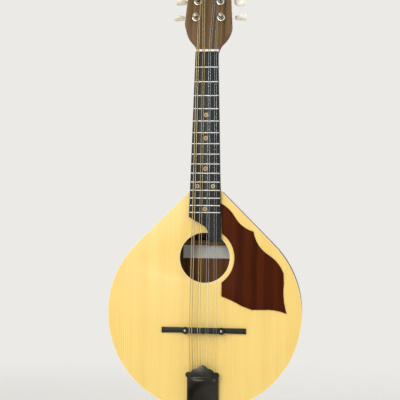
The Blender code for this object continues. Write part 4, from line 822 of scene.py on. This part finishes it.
def build_bridge():
    foot_y = GLUE_Y - 4.3 * MM
    foot = copy_of("bridge_base")
    studs = [face for face in foot.faces if face.calc_center_median().y < foot_y - 0.3 * MM]
    bmesh.ops.delete(foot, geom=studs, context="FACES")
    close(foot)
    join_flats(foot)
    face_out(foot)
    soften(foot, 0.4 * MM)
    settle("bridge_foot", foot, "bridge", "bridge", ["bridge_base"])

    end_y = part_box("bridge_base")[0].y
    studs = []
    for side in SIDES:
        x, _, z = JOINTS[f"wheel_{side}_turn"]["pos_m"]
        studs.append(bar(1.5 * MM, (x, end_y, z), (x, foot_y + 1.0 * MM, z), 24))
    studs = merged(studs)
    soften(studs, 0.25 * MM, 60.0)
    settle("bridge_studs", studs, "post", "bridge", ["bridge_base"], 40.0)
    dressed("bridge_saddle", "bridge", "saddle", 0.3 * MM)

    bore, flat = 1.8 * MM, WHEEL_RADIUS - 0.3 * MM
    for side in SIDES:
        node = f"thumbwheel_{side}"
        low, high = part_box(node)
        half = (high.y - low.y) / 2
        rim = half - 0.25 * MM
        upper = [(bore, half), (flat, half), (WHEEL_RADIUS, rim)]
        wheel = lathe([*upper, *[(radius, -height) for radius, height in reversed(upper)]], WHEEL_STEPS)
        # Every second row of the rim is sunk, for the knurling
        for vert in wheel.verts:
            step = round(math.atan2(vert.co.y, vert.co.x) / (2 * math.pi) * WHEEL_STEPS)
            if step % 2 and vert.co.xy.length > WHEEL_RADIUS - 0.1 * MM:
                vert.co.xy *= 0.95
        move(wheel, joint_frame(f"wheel_{side}_turn"))
        settle(f"{node}_knurled", wheel, "black", f"wheel_{side}", [node], 30.0)


def build_tailpiece(sizes):
    dressed("tailpiece_base", "nickel", "mandolin", 0.15 * MM, 50.0)
    cover = copy_of("tailpiece_cover")
    soften(cover, sizes.cover_edge, 50.0, 3)
    node = "tailpiece_cover"
    settle(f"{node}_finished", cover, "cover", "tail_cover", [node], 40.0)

    # Two screws through the end plate, which bends round the tail
    low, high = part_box("tailpiece_base")
    screws = []
    for x in (-11.0 * MM, 11.0 * MM):
        bend = x / sizes.tail_radius
        sag = sizes.tail_radius * (1 - math.cos(bend))
        screws.append(screw_head(1.7 * MM, (x, high.y - 5.0 * MM, low.z + sag), (bend, 0.0, -1.0)))
    settle("tail_screws", merged(screws), "nickel", "mandolin", ())

    low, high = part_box("end_pin")
    x, y, _ = (low + high) / 2
    pin = lathe(END_PIN, 40)
    move(pin, axis_frame((x, y, TAIL_Z), (0.0, 0.0, -1.0), (1.0, 0.0, 0.0)))
    settle("end_pin_turned", pin, "ebony", "mandolin", ["end_pin"], 40.0)


# The tuning machines

# From a post's place back to the plate where the screws stand and to where its gear starts, and out along a
# key to where the CAD's shaft is cut and where the button starts
PLATE_BACK = 15.8 * MM
GEAR_BACK = 15.6 * MM
WORM_END = 13.0 * MM
BUTTON_FROM_POST = 17.2 * MM
# Plate screws: past each of the first three posts, and before the first post with two beside each other
SCREW_AFTER, SCREW_BEFORE, SCREW_ASIDE = 14.4 * MM, 7.0 * MM, 5.2 * MM
# Sections of a button: how far along it, and its width and thickness there as shares of the greatest
BUTTON_SECTIONS = (
    (0.0, 0.34, 0.52), (0.05, 0.5, 0.6), (0.2, 0.82, 0.62), (0.4, 0.97, 0.66),
    (0.6, 1.0, 0.78), (0.8, 0.94, 0.92), (0.94, 0.76, 1.0), (1.0, 0.6, 0.95),
)
# Buttons as they stand in the photograph: edge on where True, their faces to the front elsewhere
EDGE_ON = {"bass": (True, True, False, True), "treble": (True, False, False, True)}
# A string post with the waist that holds the wire, and the bushing round it
STRING_POST = in_mm(
    (0.0, 10.5), (2.1, 10.5), (2.7, 10.25), (3.0, 9.7), (3.0, 6.9), (2.75, 6.6), (2.75, 1.6), (3.0, 1.3),
    (3.0, -15.7), (0.0, -15.7),
)
BUSHING = in_mm(
    (3.3, 1.5), (4.5, 1.5), (5.0, 1.25), (5.3, 0.7), (5.3, 0.3), (4.2, 0.3), (4.2, -6.0), (3.3, -6.0)
)


def build_button(sizes, matrix, edge_on):
    """A button from oval rings round its shaft."""
    bm = bmesh.new()
    for share, wide, thick in BUTTON_SECTIONS:
        half_width, half_thickness = sizes.button_width / 2 * wide, sizes.button_thickness / 2 * thick
        z = BUTTON_FROM_POST + sizes.button_length * share
        for vert in bmesh.ops.create_circle(bm, cap_ends=False, segments=28, radius=1.0)["verts"]:
            vert.co = (half_width * vert.co.x, half_thickness * vert.co.y, z)
    bmesh.ops.bridge_loops(bm, edges=bm.edges[:])
    close(bm)
    face_out(bm)
    soften(bm, 0.5 * MM, 50.0)
    move(bm, matrix @ Matrix.Rotation(0.0 if edge_on else math.pi / 2, 4, "Z"))
    return bm


def build_plate(side):
    """The strip that carries one side's machines, and its screws."""
    dressed(f"tuner_plate_{side}", "nickel", "mandolin", 0.15 * MM, 50.0)
    posts = [Vector(JOINTS[f"post_{side}_{number}_turn"]["pos_m"]) for number in range(1, 5)]
    out = Vector(JOINTS[f"post_{side}_1_turn"]["axis"])
    along = (posts[1] - posts[0]).normalized()
    across = along.cross(out)
    spots = [post + along * SCREW_AFTER for post in posts[:3]]
    spots += [posts[0] - along * SCREW_BEFORE + across * aside for aside in (-SCREW_ASIDE, SCREW_ASIDE)]
    heads = [screw_head(1.4 * MM, spot - out * PLATE_BACK, -out) for spot in spots]
    settle(f"plate_screws_{side}", merged(heads), "nickel", "mandolin", ())


def build_tuners(sizes):
    head_axis = Vector((0.0, -math.cos(HEAD_TILT), math.sin(HEAD_TILT)))
    for side in SIDES:
        build_plate(side)
        for number in range(1, 5):
            label = f"{side}_{number}"
            post_body, key_body = f"post_{label}", f"key_{label}"
            post_node, key_node = f"string_post_{label}", f"tuner_key_{label}"
            post_place = joint_frame(f"post_{label}_turn")
            key_place = joint_frame(f"key_{label}_turn", -head_axis)

            gear = copy_of(post_node)
            cut_off(gear, post_place @ Vector((0.0, 0.0, -GEAR_BACK)), post_place.col[2].xyz)
            settle(f"gear_{label}", gear, "brass", post_body, [post_node], 30.0)

            post = lathe(STRING_POST, 32)
            move(post, post_place)
            settle(f"post_{label}_turned", post, "post", post_body, [post_node], 40.0)

            bushing = lathe(BUSHING, 40)
            move(bushing, post_place)
            node = f"bushing_{label}"
            settle(f"{node}_turned", bushing, "nickel", "mandolin", [node], 40.0)

            worm = copy_of(key_node)
            cut_off(worm, key_place @ Vector((0.0, 0.0, WORM_END)), key_place.col[2].xyz)
            settle(f"worm_{label}", worm, "nickel", key_body, [key_node], 45.0)

            button = build_button(sizes, key_place, EDGE_ON[side][number - 1])
            settle(f"button_{label}", button, "celluloid", key_body, [key_node], 50.0)


# The studio

# The camera's place and its yaw, pitch and roll, and where the lamps point
CAMERA_PLACE = (0.13, -1.3, -0.25)
CAMERA_TURNS = (0.10582, 0.0362, -0.01307)
LAMPS_AIM = Vector((0.0, 0.0, -0.25))


def look(place, yaw, pitch, roll):
    """A camera's matrix. It looks along Y before it is turned."""
    turn = Matrix.Rotation(yaw, 4, "Z") @ Matrix.Rotation(pitch, 4, "X") @ Matrix.Rotation(roll, 4, "Y")
    return Matrix.Translation(place) @ turn @ Matrix.Rotation(math.pi / 2, 4, "X")


def area_light(name, place, size, power, color):
    """A round lamp that points at the instrument."""
    data = bpy.data.lights.new(name, "AREA")
    data.shape = "DISK"
    data.size = size
    data.energy = power
    data.color = color
    obj = put(name, data)
    obj.location = place
    obj.rotation_euler = (LAMPS_AIM - Vector(place)).to_track_quat("-Z", "Y").to_euler()


def build_floor(studio):
    """A round floor under the instrument, faded out towards its edge."""
    low, high = CAD_BOX
    floor = bmesh.new()
    bmesh.ops.create_circle(floor, cap_ends=True, segments=96, radius=studio.floor_radius)
    x, y, _ = (Vector(low) + Vector(high)) / 2
    move(floor, Matrix.Translation((x, y, low[2] - studio.floor_below)))
    mesh = mesh_of("floor", floor)
    mat, tree, shader, place = new_material("floor_paint", studio.floor, 0.9)
    flat = add(tree, "Mapping", {"Vector": place, "Scale": (1.0, 1.0, 0.0)})
    out = add(tree, "VectorMath", {0: flat}, operation="LENGTH")
    inner, outer = studio.floor_radius * 0.35, studio.floor_radius * 0.95
    fade = {"Value": out, "From Min": inner, "From Max": outer, "To Min": 1.0, "To Max": 0.0}
    feed(tree, shader, {"Alpha": add(tree, "MapRange", fade, interpolation_type="SMOOTHSTEP")})
    mesh.materials.append(mat)
    put("floor", mesh)


def build_world(studio):
    """Even light from all round. The camera and the mirrors see the backdrop's colour instead."""
    world = bpy.data.worlds.new("studio")
    bpy.context.scene.world = world
    world.use_nodes = True
    tree = world.node_tree
    tree.nodes.clear()
    path = add(tree, "LightPath").outputs
    seen = path["Is Camera Ray"]
    for ray in ("Is Glossy Ray", "Is Transmission Ray"):
        seen = add(tree, "Math", {0: seen, 1: path[ray]}, operation="MAXIMUM")
    light = add(tree, "Background", {"Color": (1.0, 1.0, 1.0, 1.0), "Strength": studio.world_light})
    shown = add(tree, "Background", {"Color": (*studio.backdrop, 1.0), "Strength": 1.0})
    add(tree, "OutputWorld", {"Surface": add(tree, "MixShader", {0: seen, 1: light, 2: shown})})


def build_stage(studio):
    scene = bpy.context.scene
    scene.view_settings.view_transform = "Standard"
    camera = bpy.data.cameras.new("photo_view")
    camera.sensor_width = 36.0
    camera.lens = studio.lens
    camera.clip_start = 0.01
    scene.camera = put("photo_view", camera)
    scene.camera.matrix_world = look(CAMERA_PLACE, *CAMERA_TURNS)
    build_floor(studio)
    area_light("key_light", (-0.9, -1.5, 0.9), 1.2, studio.key_power, (1.0, 0.98, 0.94))
    area_light("front_light", (-0.45, -1.5, 0.1), 0.5, studio.front_power, (1.0, 0.99, 0.97))
    area_light("fill_light", (1.3, -1.2, 0.2), 1.4, studio.fill_power, (0.94, 0.97, 1.0))
    area_light("back_light", (0.3, 1.5, 0.9), 1.4, studio.back_power, (1.0, 1.0, 1.0))
    build_world(studio)


# Settings


def colour(name, code, description):
    return bpy.props.FloatVectorProperty(
        name=name, description=description, default=linear(code), size=3, min=0.0, max=1.0, subtype="COLOR"
    )


def length(name, millimetres, description):
    return bpy.props.FloatProperty(
        name=name, description=description, default=millimetres * MM, min=0.0, unit="LENGTH", precision=4
    )


def power(name, value, description):
    return bpy.props.FloatProperty(name=name, description=description, default=value, min=0.0, unit="POWER")


class MandolinSizes(bpy.types.PropertyGroup):
    """Sizes of the small forms that the CAD leaves plain."""

    top_edge: length("Top edge", 1.2, "Rounding of the soundboard's and the back's rims")
    guard_edge: length("Pickguard edge", 0.35, "Rounding of the pickguard's edge")
    facing_edge: length("Facing edge", 0.4, "Rounding of the head facing's edge")
    board_edge: length("Fretboard edge", 0.4, "Rounding of the fretboard's edges")
    fret_radius: length("Fret crown", 0.9, "Radius of a fret's crown")
    dot: length("Dot", 5.6, "Diameter of a position dot")
    label_aside: length("Label aside", 3.2, "How far the label's middle is to the treble side")
    label_width: length("Label width", 73.5, "Width of the bare label inside")
    label_height: length("Label height", 17.2, "Height of the bare label inside")
    label_rise: length("Label rise", 6.9, "How far the label's middle is above the sound hole's")
    tail_radius: length("Tail radius", 124.2, "Radius of the tailpiece's end plate")
    cover_edge: length("Cover edge", 0.45, "Rounding of the tailpiece cover's edges")
    button_width: length("Button width", 13.0, "Width of a tuner's button")
    button_thickness: length("Button thickness", 8.2, "Thickness of a tuner's button at its end")
    button_length: length("Button length", 14.2, "Length of a tuner's button along its shaft")


class MandolinColours(bpy.types.PropertyGroup):
    """Colours of woods, metals and plastics."""

    top: colour("Top", "#EFD27C", "Varnished spruce of the soundboard")
    # Paler than the top, on the soundboard's faces that turn away from the front
    rim: colour("Rim", "#FCF0C4", "Sanded rim of the soundboard")
    # Darker than bare spruce's own colour, as painted shade inside the body
    inside: colour("Inside", "#8F6F47", "Bare spruce of braces and linings")
    back: colour("Back and sides", "#85592C", "Varnished walnut of the back and sides")
    neck: colour("Neck", "#6E4526", "Rubbed mahogany of the neck")
    facing: colour("Facing", "#695031", "Walnut of the head's facing")
    guard: colour("Pickguard", "#421804", "Rosewood of the pickguard")
    # The cool grey cast of this colour is painted reflection
    ebony: colour("Ebony", "#1B1F1D", "Fretboard, bridge and end pin")
    nut: colour("Nut", "#F6F2E2", "Bone nut and side dots")
    button: colour("Buttons", "#F3EDDC", "Celluloid of the tuners' buttons")
    label: colour("Label", "#FAF9F4", "Paper of the label")
    dot: colour("Dots", "#BFA074", "Rings of the position dots")
    heart: colour("Dot hearts", "#8C7450", "Hearts of the position dots")
    bronze: colour("Bronze", "#B3A27C", "Winding of the G and D strings")
    steel: colour("Steel", "#A9AFB4", "Plain strings")
    fretwire: colour("Fretwire", "#D6D5CF", "Nickel silver of the frets")
    nickel: colour("Nickel", "#D2CFC8", "Bushings, tuner plates, worms, screws and tailpiece base")
    post: colour("Posts", "#A39B8C", "Worn plate of the string posts and bridge studs")
    black: colour("Black nickel", "#2F2D2A", "Tailpiece cover and the bridge's wheels")
    brass: colour("Brass", "#C8A45C", "Gears of the tuning machines")


class MandolinStudio(bpy.types.PropertyGroup):
    """Camera, lamps and floor."""

    lens: bpy.props.FloatProperty(
        name="Lens",
        description="Focal length of the camera on a 36 mm sensor, in millimetres",
        default=92.11,
        min=1.0,
    )
    floor: colour("Floor", "#EFEDE8", "Paint of the floor")
    backdrop: colour("Backdrop", "#ECEAE6", "What shows beyond the floor")
    floor_radius: length("Floor radius", 1800.0, "Radius of the round floor")
    floor_below: length("Floor below", 120.0, "How far the floor lies under the hanging instrument")
    key_power: power("Key light", 10.4, "Power of the main lamp")
    front_power: power("Front light", 7.6, "Power of the lamp beside the camera")
    fill_power: power("Fill light", 7.0, "Power of the lamp on the shadow side")
    back_power: power("Back light", 10.0, "Power of the lamp behind")
    world_light: bpy.props.FloatProperty(
        name="World light", description="Strength of the even light from all round", default=0.5, min=0.0
    )


# Operators


class MANDOLIN_OT_finishes(bpy.types.Operator):
    """Make the materials from the colours"""

    bl_idname = "mandolin.finishes"
    bl_label = "Finishes"

    def execute(self, context):
        FINISHES.update(finishes(context.scene.mandolin_colours))
        return {"FINISHED"}


class MANDOLIN_OT_body(bpy.types.Operator):
    """Finish the soundboard, back and ribs"""

    bl_idname = "mandolin.body"
    bl_label = "Body"

    def execute(self, context):
        build_body(context.scene.mandolin_sizes)
        return {"FINISHED"}


class MANDOLIN_OT_inside(bpy.types.Operator):
    """Finish the blocks, braces and linings, and glue in the label"""

    bl_idname = "mandolin.inside"
    bl_label = "Inside"

    def execute(self, context):
        build_inside(context.scene.mandolin_sizes)
        return {"FINISHED"}


class MANDOLIN_OT_pickguard(bpy.types.Operator):
    """Finish the pickguard"""

    bl_idname = "mandolin.pickguard"
    bl_label = "Pickguard"

    def execute(self, context):
        build_pickguard(context.scene.mandolin_sizes)
        return {"FINISHED"}


class MANDOLIN_OT_neck(bpy.types.Operator):
    """Loft the neck and finish its head and facing"""

    bl_idname = "mandolin.neck"
    bl_label = "Neck"

    def execute(self, context):
        build_neck(context.scene.mandolin_sizes)
        return {"FINISHED"}


class MANDOLIN_OT_fretboard(bpy.types.Operator):
    """Make the fretboard's blank, its frets and its dots"""

    bl_idname = "mandolin.fretboard"
    bl_label = "Fretboard"

    def execute(self, context):
        build_fretboard(context.scene.mandolin_sizes)
        return {"FINISHED"}


class MANDOLIN_OT_nut(bpy.types.Operator):
    """Finish the nut"""

    bl_idname = "mandolin.nut"
    bl_label = "Nut"

    def execute(self, context):
        dressed("nut", "bone", "mandolin", 0.25 * MM, 30.0)
        return {"FINISHED"}


class MANDOLIN_OT_bridge(bpy.types.Operator):
    """Make the bridge's foot, studs, saddle and thumbwheels"""

    bl_idname = "mandolin.bridge"
    bl_label = "Bridge"

    def execute(self, context):
        build_bridge()
        return {"FINISHED"}


class MANDOLIN_OT_tailpiece(bpy.types.Operator):
    """Finish the tailpiece, its cover and the end pin"""

    bl_idname = "mandolin.tailpiece"
    bl_label = "Tailpiece"

    def execute(self, context):
        build_tailpiece(context.scene.mandolin_sizes)
        return {"FINISHED"}


class MANDOLIN_OT_tuners(bpy.types.Operator):
    """Make the tuning machines' posts, gears, worms, buttons and plates"""

    bl_idname = "mandolin.tuners"
    bl_label = "Tuning machines"

    def execute(self, context):
        build_tuners(context.scene.mandolin_sizes)
        return {"FINISHED"}


class MANDOLIN_OT_strings(bpy.types.Operator):
    """String it: loops on the hooks, over saddle and nut, round the posts"""

    bl_idname = "mandolin.strings"
    bl_label = "Strings"

    def execute(self, context):
        build_strings()
        return {"FINISHED"}


class MANDOLIN_OT_stage(bpy.types.Operator):
    """Set up the floor, the lamps, the world and the camera"""

    bl_idname = "mandolin.stage"
    bl_label = "Stage"

    def execute(self, context):
        build_stage(context.scene.mandolin_studio)
        return {"FINISHED"}


OPERATORS = (
    MANDOLIN_OT_finishes,
    MANDOLIN_OT_body,
    MANDOLIN_OT_inside,
    MANDOLIN_OT_pickguard,
    MANDOLIN_OT_neck,
    MANDOLIN_OT_fretboard,
    MANDOLIN_OT_nut,
    MANDOLIN_OT_bridge,
    MANDOLIN_OT_tailpiece,
    MANDOLIN_OT_tuners,
    MANDOLIN_OT_strings,
    MANDOLIN_OT_stage,
)


class MANDOLIN_PT_panel(bpy.types.Panel):
    """List what makes the mandolin, in order"""

    bl_label = "Mandolin"
    bl_idname = "MANDOLIN_PT_panel"
    bl_space_type = "VIEW_3D"
    bl_region_type = "UI"
    bl_category = "Mandolin"

    def draw(self, context):
        for operator in OPERATORS:
            self.layout.operator(operator.bl_idname)


SETTINGS = {"sizes": MandolinSizes, "colours": MandolinColours, "studio": MandolinStudio}
CLASSES = (*SETTINGS.values(), *OPERATORS, MANDOLIN_PT_panel)


def register():
    for cls in CLASSES:
        bpy.utils.register_class(cls)
    for name, group in SETTINGS.items():
        setattr(bpy.types.Scene, f"mandolin_{name}", bpy.props.PointerProperty(type=group))


def unregister():
    for name in SETTINGS:
        delattr(bpy.types.Scene, f"mandolin_{name}")
    for cls in reversed(CLASSES):
        bpy.utils.unregister_class(cls)


def main():
    register()
    for operator in OPERATORS:
        getattr(bpy.ops.mandolin, operator.bl_idname.removeprefix("mandolin."))()


if __name__ == "__main__":
    main()
